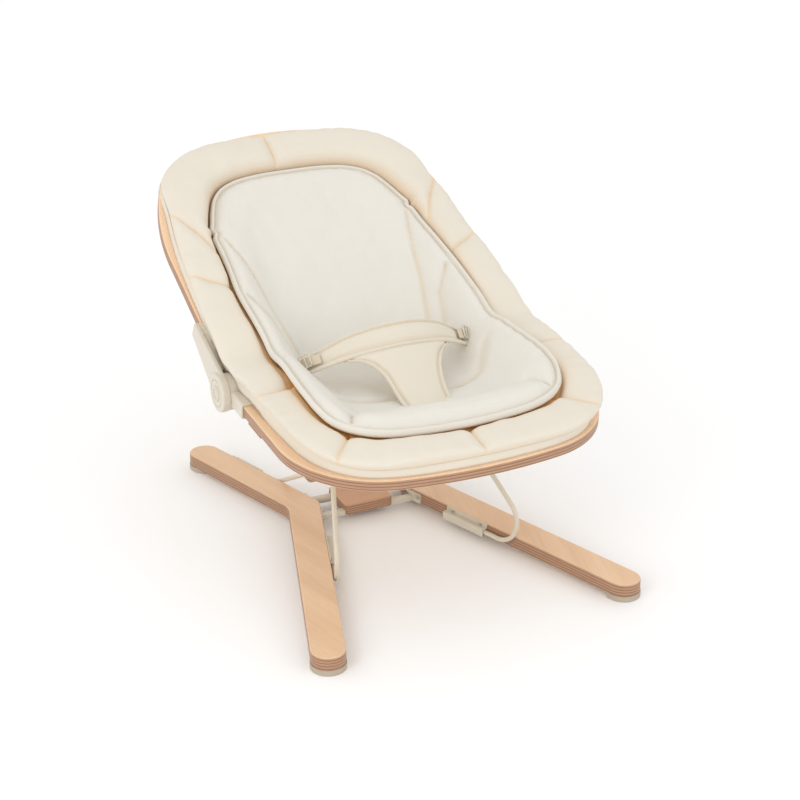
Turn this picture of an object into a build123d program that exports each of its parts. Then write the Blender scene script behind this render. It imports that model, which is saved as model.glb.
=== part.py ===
from build123d import *
import math
import os

os.makedirs("parts", exist_ok=True)

# ----------------------------------------------------------------------------
# Baby bouncer seat. Millimetres, +Z up, the seat's front faces -Y, +X is the
# seat's left-hand side seen by the sitter's front view (right in a front view).
# The origin is on the floor under the middle of the whole seat.
# ----------------------------------------------------------------------------

# placing
BASE_Y = -46.379         # middle of the foot pattern, front to rear
HINGE_Y = BASE_Y + 12.0  # recline axis
HINGE_Z = 252.0
SEAT_SLOPE = 4.0         # degrees, the front is lower
BACK_SLOPE = 29.0        # degrees, the recline at rest

# base
PLY = 18.0               # leg plywood
LEG_W = 45.0
FOOT_R = 23.3
FOOT_H = 8.0
FRONT_FOOT = (213.0, -298.65)
REAR_FOOT = (156.8, 298.65)
KNEE = (88.6, 76.7)
BOARD_T = 15.0
WIRE_R = 3.4

# hoops
HOOP_T = 15.0
BAND = 40.0
SEAT_HALF = 221.5
SEAT_FRONT = 319.0       # hinge axis to the hoop's front edge
BACK_TOP = 438.0         # hinge axis to the hoop's top edge

# hinge, measured from the centre plane
HUB_IN = 200.0
HUB_SPLIT = 224.6
HUB_GAP = 0.6
HUB_OUT = 236.0
HUB_R = 25.0
BUTTON_TRAVEL = 4.5

LEG_TOP = FOOT_H + PLY
W2 = LEG_W / 2


def unit(a, b):
    d = math.hypot(b[0] - a[0], b[1] - a[1])
    return ((b[0] - a[0]) / d, (b[1] - a[1]) / d)


base = Plane((0, BASE_Y, 0))
seat_plane = Plane(
    origin=(0, HINGE_Y, HINGE_Z), x_dir=(1, 0, 0),
    z_dir=(0, -math.sin(math.radians(SEAT_SLOPE)), math.cos(math.radians(SEAT_SLOPE))))
back_plane = Plane(
    origin=(0, HINGE_Y, HINGE_Z), x_dir=(1, 0, 0),
    z_dir=(0, -math.sin(math.radians(BACK_SLOPE)), math.cos(math.radians(BACK_SLOPE))))


def hub_plane(x):
    """Sketch plane across the recline axis: local x is +Y, local y is +Z."""
    return Plane(origin=(x, HINGE_Y, HINGE_Z), x_dir=(0, 1, 0), z_dir=(1, 0, 0))


def cross_plane(p, v):
    """Plane across a hoop plane's own y direction, at distance v from the axis."""
    return Plane(origin=p.from_local_coords((0, v, 0)), x_dir=(1, 0, 0), z_dir=p.y_dir)


# ----------------------------------------------------------------- base -----
fdir = unit(KNEE, FRONT_FOOT)
rdir = unit(KNEE, REAR_FOOT)
front_len = math.hypot(FRONT_FOOT[0] - KNEE[0], FRONT_FOOT[1] - KNEE[1])
rear_len = math.hypot(REAR_FOOT[0] - KNEE[0], REAR_FOOT[1] - KNEE[1])
# inward normals of the arms' inner faces
fnrm = (fdir[1], -fdir[0])
rnrm = (-rdir[1], rdir[0])
foot_pts = [(s * p[0], p[1]) for s in (1, -1) for p in (FRONT_FOOT, REAR_FOOT)]

# bar flanges and spring clamps sit on the inner faces at these distances from the knee
FRONT_BAR_Y = 55.0
REAR_BAR_Y = 100.0
FLANGE_L = 31.0
FLANGE_T = 3.0


def face_point(side, s, off=0.0):
    """Point on the right leg's inner face, s along the arm from the knee, off inwards."""
    d, n = (fdir, fnrm) if side == "front" else (rdir, rnrm)
    return (KNEE[0] + d[0] * s + n[0] * (W2 + off), KNEE[1] + d[1] * s + n[1] * (W2 + off))


def face_plane(side, s, z=0.0):
    """Plane on the right leg's inner face: local x along the arm away from the knee,
    local z inwards, so local y is up or down the face."""
    d, n = (fdir, fnrm) if side == "front" else (rdir, rnrm)
    p = face_point(side, s)
    return Plane(origin=(p[0], p[1] + BASE_Y, z), x_dir=(d[0], d[1], 0), z_dir=(n[0], n[1], 0))


def up(side, z):
    """Local y on face_plane for a height z above that plane's origin."""
    return z if face_plane(side, 0).y_dir.Z > 0 else -z


CLAMP_LEN = 78.0
REAR_CLAMP_LEN = 60.0
FRONT_CLAMP_S = 127.0      # middle of the front clamp from the knee
REAR_CLAMP_S = 164.0
CLAMP_SCREW_Z = 22.6
clamp_screws_at = [("front", FRONT_CLAMP_S - 27), ("front", FRONT_CLAMP_S + 27),
                   ("rear", REAR_CLAMP_S - 20), ("rear", REAR_CLAMP_S + 20)]
flange_screws_at = [("front", 6.8), ("front", 30.2), ("rear", 6.3), ("rear", 29.7)]
FLANGE_SCREW_Z = 19.0

with BuildPart() as right_leg:
    with BuildSketch(Plane((0, BASE_Y, FOOT_H))) as leg_profile:
        for tip, length in ((FRONT_FOOT, front_len), (REAR_FOOT, rear_len)):
            with Locations(((KNEE[0] + tip[0]) / 2, (KNEE[1] + tip[1]) / 2)):
                SlotCenterToCenter(length, LEG_W,
                                   rotation=math.degrees(math.atan2(tip[1] - KNEE[1], tip[0] - KNEE[0])))
        outer = [v for v in leg_profile.vertices()
                 if math.hypot(v.X - (KNEE[0] + 23.5), v.Y - BASE_Y - KNEE[1]) < 6
                 or math.hypot(v.X - (KNEE[0] + 23.5), v.Y - KNEE[1]) < 6]
        fillet(outer, 40)
    extrude(amount=PLY)
    fillet(right_leg.edges().group_by(Axis.Z)[-1], 2.0)
    fillet(right_leg.edges().group_by(Axis.Z)[0], 1.0)
    with BuildSketch(Plane((0, BASE_Y, FOOT_H))):
        with Locations(FRONT_FOOT, REAR_FOOT):
            Circle(2.05)
    extrude(amount=12.2, mode=Mode.SUBTRACT)
    for side, s in clamp_screws_at:
        with BuildSketch(face_plane(side, s)):
            with Locations((0, up(side, CLAMP_SCREW_Z))):
                Circle(1.65)
        extrude(amount=-14.2, mode=Mode.SUBTRACT)
    for side, s in flange_screws_at:
        with BuildSketch(face_plane(side, s)):
            with Locations((0, up(side, FLANGE_SCREW_Z))):
                Circle(2.05)
        extrude(amount=-18.2, mode=Mode.SUBTRACT)
right_leg.part.label = "right_leg"
export_step(right_leg.part, "parts/right_leg.step")

with BuildPart() as left_leg:
    mirror(right_leg.part, about=Plane.YZ)
left_leg.part.label = "left_leg"
export_step(left_leg.part, "parts/left_leg.step")

with BuildPart() as rubber_feet:
    with BuildSketch(base):
        with Locations(*foot_pts):
            Circle(FOOT_R)
    extrude(amount=FOOT_H)
    fillet(rubber_feet.edges().group_by(Axis.Z)[0], 1.6)
    with BuildSketch(base):
        with Locations(*foot_pts):
            Circle(5.0)
    extrude(amount=4.4, mode=Mode.SUBTRACT)
    with BuildSketch(base):
        with Locations(*foot_pts):
            Circle(2.1)
    extrude(amount=FOOT_H, mode=Mode.SUBTRACT)
rubber_feet.part.label = "rubber_feet"
export_step(rubber_feet.part, "parts/rubber_feet.step")

with BuildPart() as foot_screws:
    with BuildSketch(base.offset(2.0)):
        with Locations(*foot_pts):
            Circle(4.6)
    extrude(amount=2.3)
    chamfer(foot_screws.edges().group_by(Axis.Z)[0], 0.6)
    with BuildSketch(base.offset(4.0)):
        with Locations(*foot_pts):
            Circle(2.0)
    extrude(amount=16.0)
    with BuildSketch(base.offset(2.0)):
        with Locations(*foot_pts):
            RegularPolygon(1.6, 6)
    extrude(amount=1.2, mode=Mode.SUBTRACT)
foot_screws.part.label = "foot_screws"
export_step(foot_screws.part, "parts/foot_screws.step")

# crossbars: a flat bar in front and a tube behind, each with a flange at both ends
with BuildPart() as front_crossbar:
    for s in (1, -1):
        f = face_plane("front", 18.5, 8.5)
        p = f if s == 1 else Plane(origin=(-f.origin.X, f.origin.Y, f.origin.Z),
                                   x_dir=(-f.x_dir.X, f.x_dir.Y, 0), z_dir=(-f.z_dir.X, f.z_dir.Y, 0))
        with BuildSketch(p):
            with Locations((0, 7.0 * (1 if p.y_dir.Z > 0 else -1))):
                RectangleRounded(FLANGE_L, 14.0, 2.5)
        extrude(amount=FLANGE_T)
    with BuildSketch(Plane((0, BASE_Y + FRONT_BAR_Y, 8.5))):
        with BuildLine():
            a = face_point("front", (KNEE[1] - 7.15 - FRONT_BAR_Y + 5) / -fdir[1], 1.5)
            b = face_point("front", (KNEE[1] - 7.15 - FRONT_BAR_Y - 5) / -fdir[1], 1.5)
            Polyline((a[0], -5), (b[0], 5), (-b[0], 5), (-a[0], -5), close=True)
        make_face()
    extrude(amount=8.0)
    fillet([e for e in front_crossbar.edges().filter_by(Axis.X)], 1.2)
    for s in (1, -1):
        for side, d in flange_screws_at[:2]:
            q = face_plane(side, d, FLANGE_SCREW_Z)
            q = q if s == 1 else Plane(origin=(-q.origin.X, q.origin.Y, q.origin.Z),
                                       x_dir=(-q.x_dir.X, q.x_dir.Y, 0), z_dir=(-q.z_dir.X, q.z_dir.Y, 0))
            with BuildSketch(q):
                Circle(2.1)
            extrude(amount=FLANGE_T + 1, mode=Mode.SUBTRACT)
    with BuildSketch(Plane((0, BASE_Y + FRONT_BAR_Y, 8.5))):
        with Locations((-22, 0), (22, 0)):
            Circle(2.1)
    extrude(amount=8.0, mode=Mode.SUBTRACT)
front_crossbar.part.label = "front_crossbar"
export_step(front_crossbar.part, "parts/front_crossbar.step")

with BuildPart() as rear_crossbar:
    for s in (1, -1):
        f = face_plane("rear", 18.0, 8.5)
        p = f if s == 1 else Plane(origin=(-f.origin.X, f.origin.Y, f.origin.Z),
                                   x_dir=(-f.x_dir.X, f.x_dir.Y, 0), z_dir=(-f.z_dir.X, f.z_dir.Y, 0))
        with BuildSketch(p):
            with Locations((0, 7.0 * (1 if p.y_dir.Z > 0 else -1))):
                RectangleRounded(FLANGE_L, 14.0, 2.5)
        extrude(amount=FLANGE_T)
    tube_half = face_point("rear", (REAR_BAR_Y - KNEE[1] - 6.6) / rdir[1], 2.7)[0]
    with BuildSketch(Plane(origin=(-tube_half, BASE_Y + REAR_BAR_Y, 15.0), x_dir=(0, 1, 0), z_dir=(1, 0, 0))):
        Circle(6.0)
    extrude(amount=2 * tube_half)
    for s in (1, -1):
        for side, d in flange_screws_at[2:]:
            q = face_plane(side, d, FLANGE_SCREW_Z)
            q = q if s == 1 else Plane(origin=(-q.origin.X, q.origin.Y, q.origin.Z),
                                       x_dir=(-q.x_dir.X, q.x_dir.Y, 0), z_dir=(-q.z_dir.X, q.z_dir.Y, 0))
            with BuildSketch(q):
                Circle(2.1)
            extrude(amount=FLANGE_T + 1, mode=Mode.SUBTRACT)
    with BuildSketch(Plane((0, BASE_Y + REAR_BAR_Y, 8.0))):
        with Locations((-22, 0), (22, 0)):
            Circle(2.1)
    extrude(amount=14.0, mode=Mode.SUBTRACT)
rear_crossbar.part.label = "rear_crossbar"
export_step(rear_crossbar.part, "parts/rear_crossbar.step")

with BuildPart() as right_bar_screws:
    for side, s in flange_screws_at:
        with BuildSketch(face_plane(side, s, FLANGE_SCREW_Z).offset(FLANGE_T)):
            Circle(3.4)
        extrude(amount=2.0)
        with BuildSketch(face_plane(side, s, FLANGE_SCREW_Z).offset(FLANGE_T + 0.5)):
            Circle(2.0)
        extrude(amount=-(FLANGE_T + 18.0))
with BuildPart() as crossbar_screws:
    add(right_bar_screws.part)
    mirror(right_bar_screws.part, about=Plane.YZ)
crossbar_screws.part.label = "crossbar_screws"
export_step(crossbar_screws.part, "parts/crossbar_screws.step")

# wooden board over the two bars, flush with the legs
BOARD_Z = LEG_TOP - BOARD_T
with BuildPart() as centre_board:
    with BuildSketch(Plane((0, BASE_Y + 79.0, BOARD_Z))):
        RectangleRounded(74.0, 66.0, 7.0)
    extrude(amount=BOARD_T)
    fillet(centre_board.edges().group_by(Axis.Z)[-1], 2.0)
    with BuildSketch(Plane((0, BASE_Y + FRONT_BAR_Y, BOARD_Z))):
        Rectangle(80.0, 10.4)
    extrude(amount=16.7 - BOARD_Z, mode=Mode.SUBTRACT)
    with BuildSketch(Plane((0, BASE_Y + REAR_BAR_Y, BOARD_Z))):
        Rectangle(80.0, 12.4)
    extrude(amount=21.2 - BOARD_Z, mode=Mode.SUBTRACT)
    with BuildSketch(Plane((0, BASE_Y, 16.5))):
        with Locations(*[(x, y) for x in (-22, 22) for y in (FRONT_BAR_Y, REAR_BAR_Y)]):
            Circle(1.65)
    extrude(amount=7.7, mode=Mode.SUBTRACT)
centre_board.part.label = "centre_board"
export_step(centre_board.part, "parts/centre_board.step")

with BuildPart() as board_screws:
    with BuildSketch(Plane((0, BASE_Y, 6.3))):
        with Locations(*[(x, FRONT_BAR_Y) for x in (-22, 22)]):
            Circle(3.4)
    extrude(amount=2.2)
    with BuildSketch(Plane((0, BASE_Y, 6.6))):
        with Locations(*[(x, REAR_BAR_Y) for x in (-22, 22)]):
            Circle(3.4)
    extrude(amount=2.2)
    with BuildSketch(Plane((0, BASE_Y, 7.0))):
        with Locations(*[(x, y) for x in (-22, 22) for y in (FRONT_BAR_Y, REAR_BAR_Y)]):
            Circle(1.6)
    extrude(amount=17.0)
board_screws.part.label = "board_screws"
export_step(board_screws.part, "parts/board_screws.step")


# spring clamps: folded steel channels that hold the wire against the leg's inner face
def clamp_profile(side):
    """Hat-shaped half section: local x is inwards from the face, local y is height."""
    return [(0.02, 8.6), (10.0, 8.6), (10.0, 19.6), (1.6, 19.6), (1.6, 25.4), (0.02, 25.4),
            (0.02, 18.0), (8.4, 18.0), (8.4, 10.2), (0.02, 10.2)]


def clamp_plane(side, s):
    d, n = (fdir, fnrm) if side == "front" else (rdir, rnrm)
    p = face_point(side, s)
    return Plane(origin=(p[0], p[1] + BASE_Y, 0), x_dir=(n[0], n[1], 0),
                 z_dir=(n[1], -n[0], 0))


with BuildPart() as right_front_spring_clamp:
    with BuildSketch(clamp_plane("front", FRONT_CLAMP_S)):
        with BuildLine():
            Polyline(*clamp_profile("front"), close=True)
        make_face()
    extrude(amount=CLAMP_LEN / 2, both=True)
    for side, s in clamp_screws_at[:2]:
        with BuildSketch(face_plane(side, s, CLAMP_SCREW_Z)):
            Circle(1.7)
        extrude(amount=3.0, mode=Mode.SUBTRACT)
right_front_spring_clamp.part.label = "right_front_spring_clamp"
export_step(right_front_spring_clamp.part, "parts/right_front_spring_clamp.step")

with BuildPart() as right_rear_spring_clamp:
    with BuildSketch(clamp_plane("rear", REAR_CLAMP_S)):
        with BuildLine():
            Polyline(*clamp_profile("rear"), close=True)
        make_face()
    extrude(amount=REAR_CLAMP_LEN / 2, both=True)
    for side, s in clamp_screws_at[2:]:
        with BuildSketch(face_plane(side, s, CLAMP_SCREW_Z)):
            Circle(1.7)
        extrude(amount=3.0, mode=Mode.SUBTRACT)
right_rear_spring_clamp.part.label = "right_rear_spring_clamp"
export_step(right_rear_spring_clamp.part, "parts/right_rear_spring_clamp.step")

with BuildPart() as left_front_spring_clamp:
    mirror(right_front_spring_clamp.part, about=Plane.YZ)
left_front_spring_clamp.part.label = "left_front_spring_clamp"
export_step(left_front_spring_clamp.part, "parts/left_front_spring_clamp.step")

with BuildPart() as left_rear_spring_clamp:
    mirror(right_rear_spring_clamp.part, about=Plane.YZ)
left_rear_spring_clamp.part.label = "left_rear_spring_clamp"
export_step(left_rear_spring_clamp.part, "parts/left_rear_spring_clamp.step")

with BuildPart() as right_clamp_screws:
    for side, s in clamp_screws_at:
        with BuildSketch(face_plane(side, s, CLAMP_SCREW_Z).offset(1.62)):
            Circle(2.8)
        extrude(amount=1.6)
        with BuildSketch(face_plane(side, s, CLAMP_SCREW_Z).offset(2.0)):
            Circle(1.6)
        extrude(amount=-16.0)
with BuildPart() as clamp_screws:
    add(right_clamp_screws.part)
    mirror(right_clamp_screws.part, about=Plane.YZ)
clamp_screws.part.label = "clamp_screws"
export_step(clamp_screws.part, "parts/clamp_screws.step")

# one bent spring wire on each side: front clamp, forward loop, run under the cradle,
# strut down to the rear clamp
WIRE_OFF = 4.3
CRADLE_N = -98.3           # underside of the cradle below the seat plane
CRADLE_T = 12.0
CRADLE_V0, CRADLE_V1 = -107.0, -37.0


def in_front_plane(y, z):
    s = (KNEE[1] + fnrm[1] * (W2 + WIRE_OFF) - y) / -fdir[1]
    p = face_point("front", s, WIRE_OFF)
    return (p[0], y + BASE_Y, z)


def under_cradle(x, y, drop):
    """Point below the cradle's underside at x and foot-pattern y."""
    v = (y - 12.0 - (CRADLE_N - drop) * -math.sin(math.radians(SEAT_SLOPE))) / math.cos(math.radians(SEAT_SLOPE))
    return tuple(seat_plane.from_local_coords((x, v, CRADLE_N - drop)))


wire_a = in_front_plane(-14.0, 14.0)
wire_b = in_front_plane(-146.0, 14.0)
wire_c = in_front_plane(-146.0, 66.0)
wire_d = under_cradle(105.0, -66.0, WIRE_R + 0.35)
wire_e = under_cradle(90.0, -22.0, WIRE_R + 0.35)
rear_in = face_point("rear", 128.0, WIRE_OFF)
rear_out = face_point("rear", REAR_CLAMP_S + 27, WIRE_OFF)
wire_f = (86.0, 46.0 + BASE_Y, 90.0)
wire_g = (87.0, 181.0 + BASE_Y, 14.0)
wire_h = (rear_in[0], rear_in[1] + BASE_Y, 14.0)
wire_i = (rear_out[0], rear_out[1] + BASE_Y, 14.0)
wire_pts = [wire_a, wire_b, wire_c, wire_d, wire_e, wire_f, wire_g, wire_h, wire_i]

with BuildLine() as wire_path:
    FilletPolyline(*wire_pts, radius=[36, 38, 22, 26, 60, 30, 40])

with BuildPart() as right_spring_wire:
    with BuildSketch(Plane(origin=wire_a, z_dir=(wire_b[0] - wire_a[0], wire_b[1] - wire_a[1], 0))):
        Circle(WIRE_R)
    sweep(path=wire_path.wire())
right_spring_wire.part.label = "right_spring_wire"
export_step(right_spring_wire.part, "parts/right_spring_wire.step")

with BuildPart() as left_spring_wire:
    mirror(right_spring_wire.part, about=Plane.YZ)
left_spring_wire.part.label = "left_spring_wire"
export_step(left_spring_wire.part, "parts/left_spring_wire.step")


# ---------------------------------------------------------------- hoops -----
def offset_outline(pts, d):
    """Move a polyline of points inwards by d along its normals (towards x = 0)."""
    out = []
    for i, p in enumerate(pts):
        a = pts[max(i - 1, 0)]
        b = pts[min(i + 1, len(pts) - 1)]
        t = unit(a, b)
        out.append((p[0] + t[1] * d, p[1] - t[0] * d))
    return out


def arc_pts(cx, cy, r, a0, a1, n):
    return [(cx + r * math.cos(math.radians(a0 + (a1 - a0) * i / n)),
             cy + r * math.sin(math.radians(a0 + (a1 - a0) * i / n))) for i in range(n + 1)]


# seat outline, right half, from the hinge end to the middle of the front edge
SEAT_CORNER_R = 132.0
SEAT_FRONT_R = 665.0
_ang = math.degrees(math.asin((SEAT_HALF - SEAT_CORNER_R) / (SEAT_FRONT_R - SEAT_CORNER_R)))
SEAT_CORNER_V = -SEAT_FRONT + SEAT_FRONT_R - (SEAT_FRONT_R - SEAT_CORNER_R) * math.cos(math.radians(_ang))
seat_corner = arc_pts(SEAT_HALF - SEAT_CORNER_R, SEAT_CORNER_V, SEAT_CORNER_R, 0, -90 + _ang, 6)
seat_front_arc = arc_pts(0, -SEAT_FRONT + SEAT_FRONT_R, SEAT_FRONT_R, -90 + _ang, -90, 3)

# back outline, right half, from the hinge end to the middle of the top edge
BACK_SIDE_R = 318.0
BACK_CORNER_R = 98.0
BACK_TOP_R = 430.0
back_side = arc_pts(224.0 - BACK_SIDE_R, 236.0, BACK_SIDE_R, 0, 26, 3)
_cs = (224.0 - BACK_SIDE_R + (BACK_SIDE_R - BACK_CORNER_R) * math.cos(math.radians(26)),
       236.0 + (BACK_SIDE_R - BACK_CORNER_R) * math.sin(math.radians(26)))
_top_a = math.degrees(math.asin(_cs[0] / (BACK_TOP_R - BACK_CORNER_R)))
BACK_EDGE = _cs[1] + (BACK_TOP_R - BACK_CORNER_R) * -math.cos(math.radians(_top_a)) + BACK_TOP_R
back_corner = arc_pts(_cs[0], _cs[1], BACK_CORNER_R, 26, 90 - _top_a, 4)
back_top_arc = arc_pts(0, BACK_EDGE - BACK_TOP_R, BACK_TOP_R, 90 - _top_a, 90, 2)


def seat_outline(end_v, d=0.0):
    """Smooth closed face outline of the seat, open end at end_v, moved inwards by d."""
    h = SEAT_HALF - d
    corner = arc_pts(SEAT_HALF - SEAT_CORNER_R, SEAT_CORNER_V, SEAT_CORNER_R - d, 0, -90 + _ang, 2)
    front = arc_pts(0, -SEAT_FRONT + SEAT_FRONT_R, SEAT_FRONT_R - d, -90 + _ang, -90, 1)
    return h, end_v, corner, front[-1]


def draw_seat(end_v, d=0.0):
    h, v, corner, front = seat_outline(end_v, d)
    Polyline((h, v), corner[0])
    ThreePointArc(corner[0], corner[1], corner[2])
    ThreePointArc(corner[2], front, (-corner[2][0], corner[2][1]))
    ThreePointArc((-corner[2][0], corner[2][1]), (-corner[1][0], corner[1][1]), (-corner[0][0], corner[0][1]))
    Polyline((-corner[0][0], corner[0][1]), (-h, v))


def draw_back(end_v, d=0.0):
    side = arc_pts(224.0 - BACK_SIDE_R, 236.0, BACK_SIDE_R - d, 0, 26, 2)
    corner = arc_pts(_cs[0], _cs[1], BACK_CORNER_R - d, 26, 90 - _top_a, 2)
    top = (0, BACK_EDGE - d)
    h = side[0][0] - 3.5 * (236.0 - end_v) / 140.0
    Polyline((h, end_v), side[0])
    ThreePointArc(side[0], side[1], side[2])
    ThreePointArc(side[2], corner[1], corner[2])
    ThreePointArc(corner[2], top, (-corner[2][0], corner[2][1]))
    ThreePointArc((-corner[2][0], corner[2][1]), (-corner[1][0], corner[1][1]), (-side[2][0], side[2][1]))
    ThreePointArc((-side[2][0], side[2][1]), (-side[1][0], side[1][1]), (-side[0][0], side[0][1]))
    Polyline((-side[0][0], side[0][1]), (-h, end_v))
    return h


SEAT_WOOD_END = -36.0
BACK_WOOD_END = 81.0

with BuildPart() as seat_hoop:
    with BuildSketch(seat_plane.offset(-HOOP_T / 2)):
        with BuildLine():
            draw_seat(SEAT_WOOD_END)
            Line((-SEAT_HALF, SEAT_WOOD_END), (-SEAT_HALF + BAND, SEAT_WOOD_END))
            draw_seat(SEAT_WOOD_END, BAND)
            Line((SEAT_HALF - BAND, SEAT_WOOD_END), (SEAT_HALF, SEAT_WOOD_END))
        make_face()
    extrude(amount=HOOP_T)
    fillet(seat_hoop.faces().sort_by(Axis((0, 0, 0), tuple(seat_plane.z_dir)))[-1].edges(), 2.2)
    fillet(seat_hoop.faces().sort_by(Axis((0, 0, 0), tuple(seat_plane.z_dir)))[0].edges(), 2.2)
seat_hoop.part.label = "seat_hoop"
export_step(seat_hoop.part, "parts/seat_hoop.step")

with BuildPart() as back_hoop:
    with BuildSketch(back_plane.offset(-HOOP_T / 2)):
        with BuildLine():
            bh = draw_back(BACK_WOOD_END)
            Line((-bh, BACK_WOOD_END), (-bh + BAND, BACK_WOOD_END))
            bi = draw_back(BACK_WOOD_END, BAND)
            Line((bh - BAND, BACK_WOOD_END), (bh, BACK_WOOD_END))
        make_face()
    extrude(amount=HOOP_T)
    fillet(back_hoop.faces().sort_by(Axis((0, 0, 0), tuple(back_plane.z_dir)))[-1].edges(), 2.2)
    fillet(back_hoop.faces().sort_by(Axis((0, 0, 0), tuple(back_plane.z_dir)))[0].edges(), 2.2)
back_hoop.part.label = "back_hoop"
export_step(back_hoop.part, "parts/back_hoop.step")

# bent plywood cradle under the seat, screwed to the hoop's underside
N_UNDER = -HOOP_T / 2
with BuildPart() as seat_cradle:
    with BuildSketch(Plane(origin=seat_plane.from_local_coords((0, CRADLE_V1, 0)),
                           x_dir=(1, 0, 0), z_dir=-seat_plane.y_dir)) as cradle_profile:
        with BuildLine():
            Polyline((216, N_UNDER - 10), (191.5, N_UNDER - 12), (148, CRADLE_N), (-148, CRADLE_N),
                     (-191.5, N_UNDER - 12), (-216, N_UNDER - 10), (-216, N_UNDER - 0.02),
                     (-184.5, N_UNDER - 0.02), (-141, CRADLE_N + CRADLE_T), (141, CRADLE_N + CRADLE_T),
                     (184.5, N_UNDER - 0.02), (216, N_UNDER - 0.02), close=True)
        make_face()
    extrude(amount=CRADLE_V1 - CRADLE_V0)
    with BuildSketch(seat_plane.offset(N_UNDER - 60)):
        with Locations((0, -46)):
            Rectangle(480, 38)
    extrude(amount=80, mode=Mode.SUBTRACT)
    bottom_corners = [e for e in seat_cradle.edges() if e.length > 60
                      and abs(e.tangent_at(0.5).dot(seat_plane.y_dir)) > 0.99
                      and seat_plane.to_local_coords(e.center()).Z < CRADLE_N + 20]
    fillet(bottom_corners, 9.0)
seat_cradle.part.label = "seat_cradle"
export_step(seat_cradle.part, "parts/seat_cradle.step")

cradle_screw_pts = [(s * 203.0, v) for s in (1, -1) for v in (-96.0, -76.0)]
with BuildPart() as cradle_screws:
    with BuildSketch(seat_plane.offset(N_UNDER - 14.6)):
        with Locations(*cradle_screw_pts):
            Circle(4.2)
    extrude(amount=2.4)
    with BuildSketch(seat_plane.offset(N_UNDER - 13)):
        with Locations(*cradle_screw_pts):
            Circle(2.2)
    extrude(amount=22.5)
cradle_screws.part.label = "cradle_screws"
export_step(cradle_screws.part, "parts/cradle_screws.step")

for target in (seat_cradle, seat_hoop):
    with target:
        with BuildSketch(seat_plane.offset(N_UNDER - 12.5)):
            with Locations(*cradle_screw_pts):
                Circle(2.3)
        extrude(amount=22.2, mode=Mode.SUBTRACT)
seat_cradle.part.label = "seat_cradle"
export_step(seat_cradle.part, "parts/seat_cradle.step")
seat_hoop.part.label = "seat_hoop"
export_step(seat_hoop.part, "parts/seat_hoop.step")

# saddles that hold the wires' top runs to the cradle's underside
saddle_pts = [(102.0, -68.0), (95.5, -49.0)]
with BuildPart() as right_saddles:
    with BuildSketch(seat_plane.offset(CRADLE_N - 9.5)):
        with Locations(*saddle_pts):
            RectangleRounded(34, 13, 2.5)
    extrude(amount=9.48)
    with BuildSketch(Plane(origin=wire_a, z_dir=(wire_b[0] - wire_a[0], wire_b[1] - wire_a[1], 0))):
        Circle(WIRE_R + 0.3)
    sweep(path=wire_path.wire(), mode=Mode.SUBTRACT)
    with BuildSketch(seat_plane.offset(CRADLE_N - 10)):
        with Locations(*[(p[0] + s * 11.5, p[1]) for p in saddle_pts for s in (1, -1)]):
            Circle(2.1)
    extrude(amount=12, mode=Mode.SUBTRACT)
with BuildPart() as wire_saddles:
    add(right_saddles.part)
    mirror(right_saddles.part, about=Plane.YZ)
wire_saddles.part.label = "wire_saddles"
export_step(wire_saddles.part, "parts/wire_saddles.step")

saddle_screw_pts = [(k * (p[0] + s * 11.5), p[1]) for k in (1, -1) for p in saddle_pts for s in (1, -1)]
with seat_cradle:
    with BuildSketch(seat_plane.offset(CRADLE_N - 1)):
        with Locations(*saddle_screw_pts):
            Circle(2.05)
    extrude(amount=10.2, mode=Mode.SUBTRACT)
seat_cradle.part.label = "seat_cradle"
export_step(seat_cradle.part, "parts/seat_cradle.step")
with BuildPart() as saddle_screws:
    with BuildSketch(seat_plane.offset(CRADLE_N - 11.7)):
        with Locations(*saddle_screw_pts):
            Circle(3.3)
    extrude(amount=2.2)
    with BuildSketch(seat_plane.offset(CRADLE_N - 10)):
        with Locations(*saddle_screw_pts):
            Circle(2.0)
    extrude(amount=19.0)
saddle_screws.part.label = "saddle_screws"
export_step(saddle_screws.part, "parts/saddle_screws.step")

# ---------------------------------------------------------------- hinges ----
SLEEVE_X = (SEAT_HALF - BAND - 2.6, HUB_SPLIT + 0.1)
SLEEVE_C = sum(SLEEVE_X) / 2
SLEEVE_W = SLEEVE_X[1] - SLEEVE_X[0]
WOOD_C = SEAT_HALF - BAND / 2
LOWER_V = -62.0
UPPER_V = 113.0
RING_IN, RING_OUT = 18.0, 22.0

with BuildPart() as right_hinge_lower_housing:
    with BuildSketch(hub_plane(HUB_IN)):
        Circle(HUB_R)
    extrude(amount=HUB_SPLIT - HUB_IN)
    with BuildSketch(cross_plane(seat_plane, LOWER_V)):
        with Locations((SLEEVE_C, 0)):
            RectangleRounded(SLEEVE_W, 22.0, 4.0)
    extrude(amount=-LOWER_V - 14.0)
    fillet(right_hinge_lower_housing.faces().sort_by(Axis((0, 0, 0), tuple(seat_plane.y_dir)))[0].edges(), 1.5)
    # the hoop's end sits in this pocket
    with BuildSketch(cross_plane(seat_plane, LOWER_V)):
        with Locations((WOOD_C, 0)):
            Rectangle(BAND + 0.5, HOOP_T + 0.5)
    extrude(amount=26.5, mode=Mode.SUBTRACT)
    # bearing groove, lock pocket and guide pin hole
    with BuildSketch(hub_plane(214.0)):
        Circle(RING_OUT + 0.06)
        Circle(RING_IN - 0.06, mode=Mode.SUBTRACT)
    extrude(amount=20.0, mode=Mode.SUBTRACT)
    with BuildSketch(hub_plane(212.6)):
        Circle(15.4)
    extrude(amount=20.0, mode=Mode.SUBTRACT)
    with BuildSketch(hub_plane(HUB_IN)):
        Circle(3.03)
    extrude(amount=20.0, mode=Mode.SUBTRACT)
right_hinge_lower_housing.part.label = "right_hinge_lower_housing"
export_step(right_hinge_lower_housing.part, "parts/right_hinge_lower_housing.step")

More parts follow.
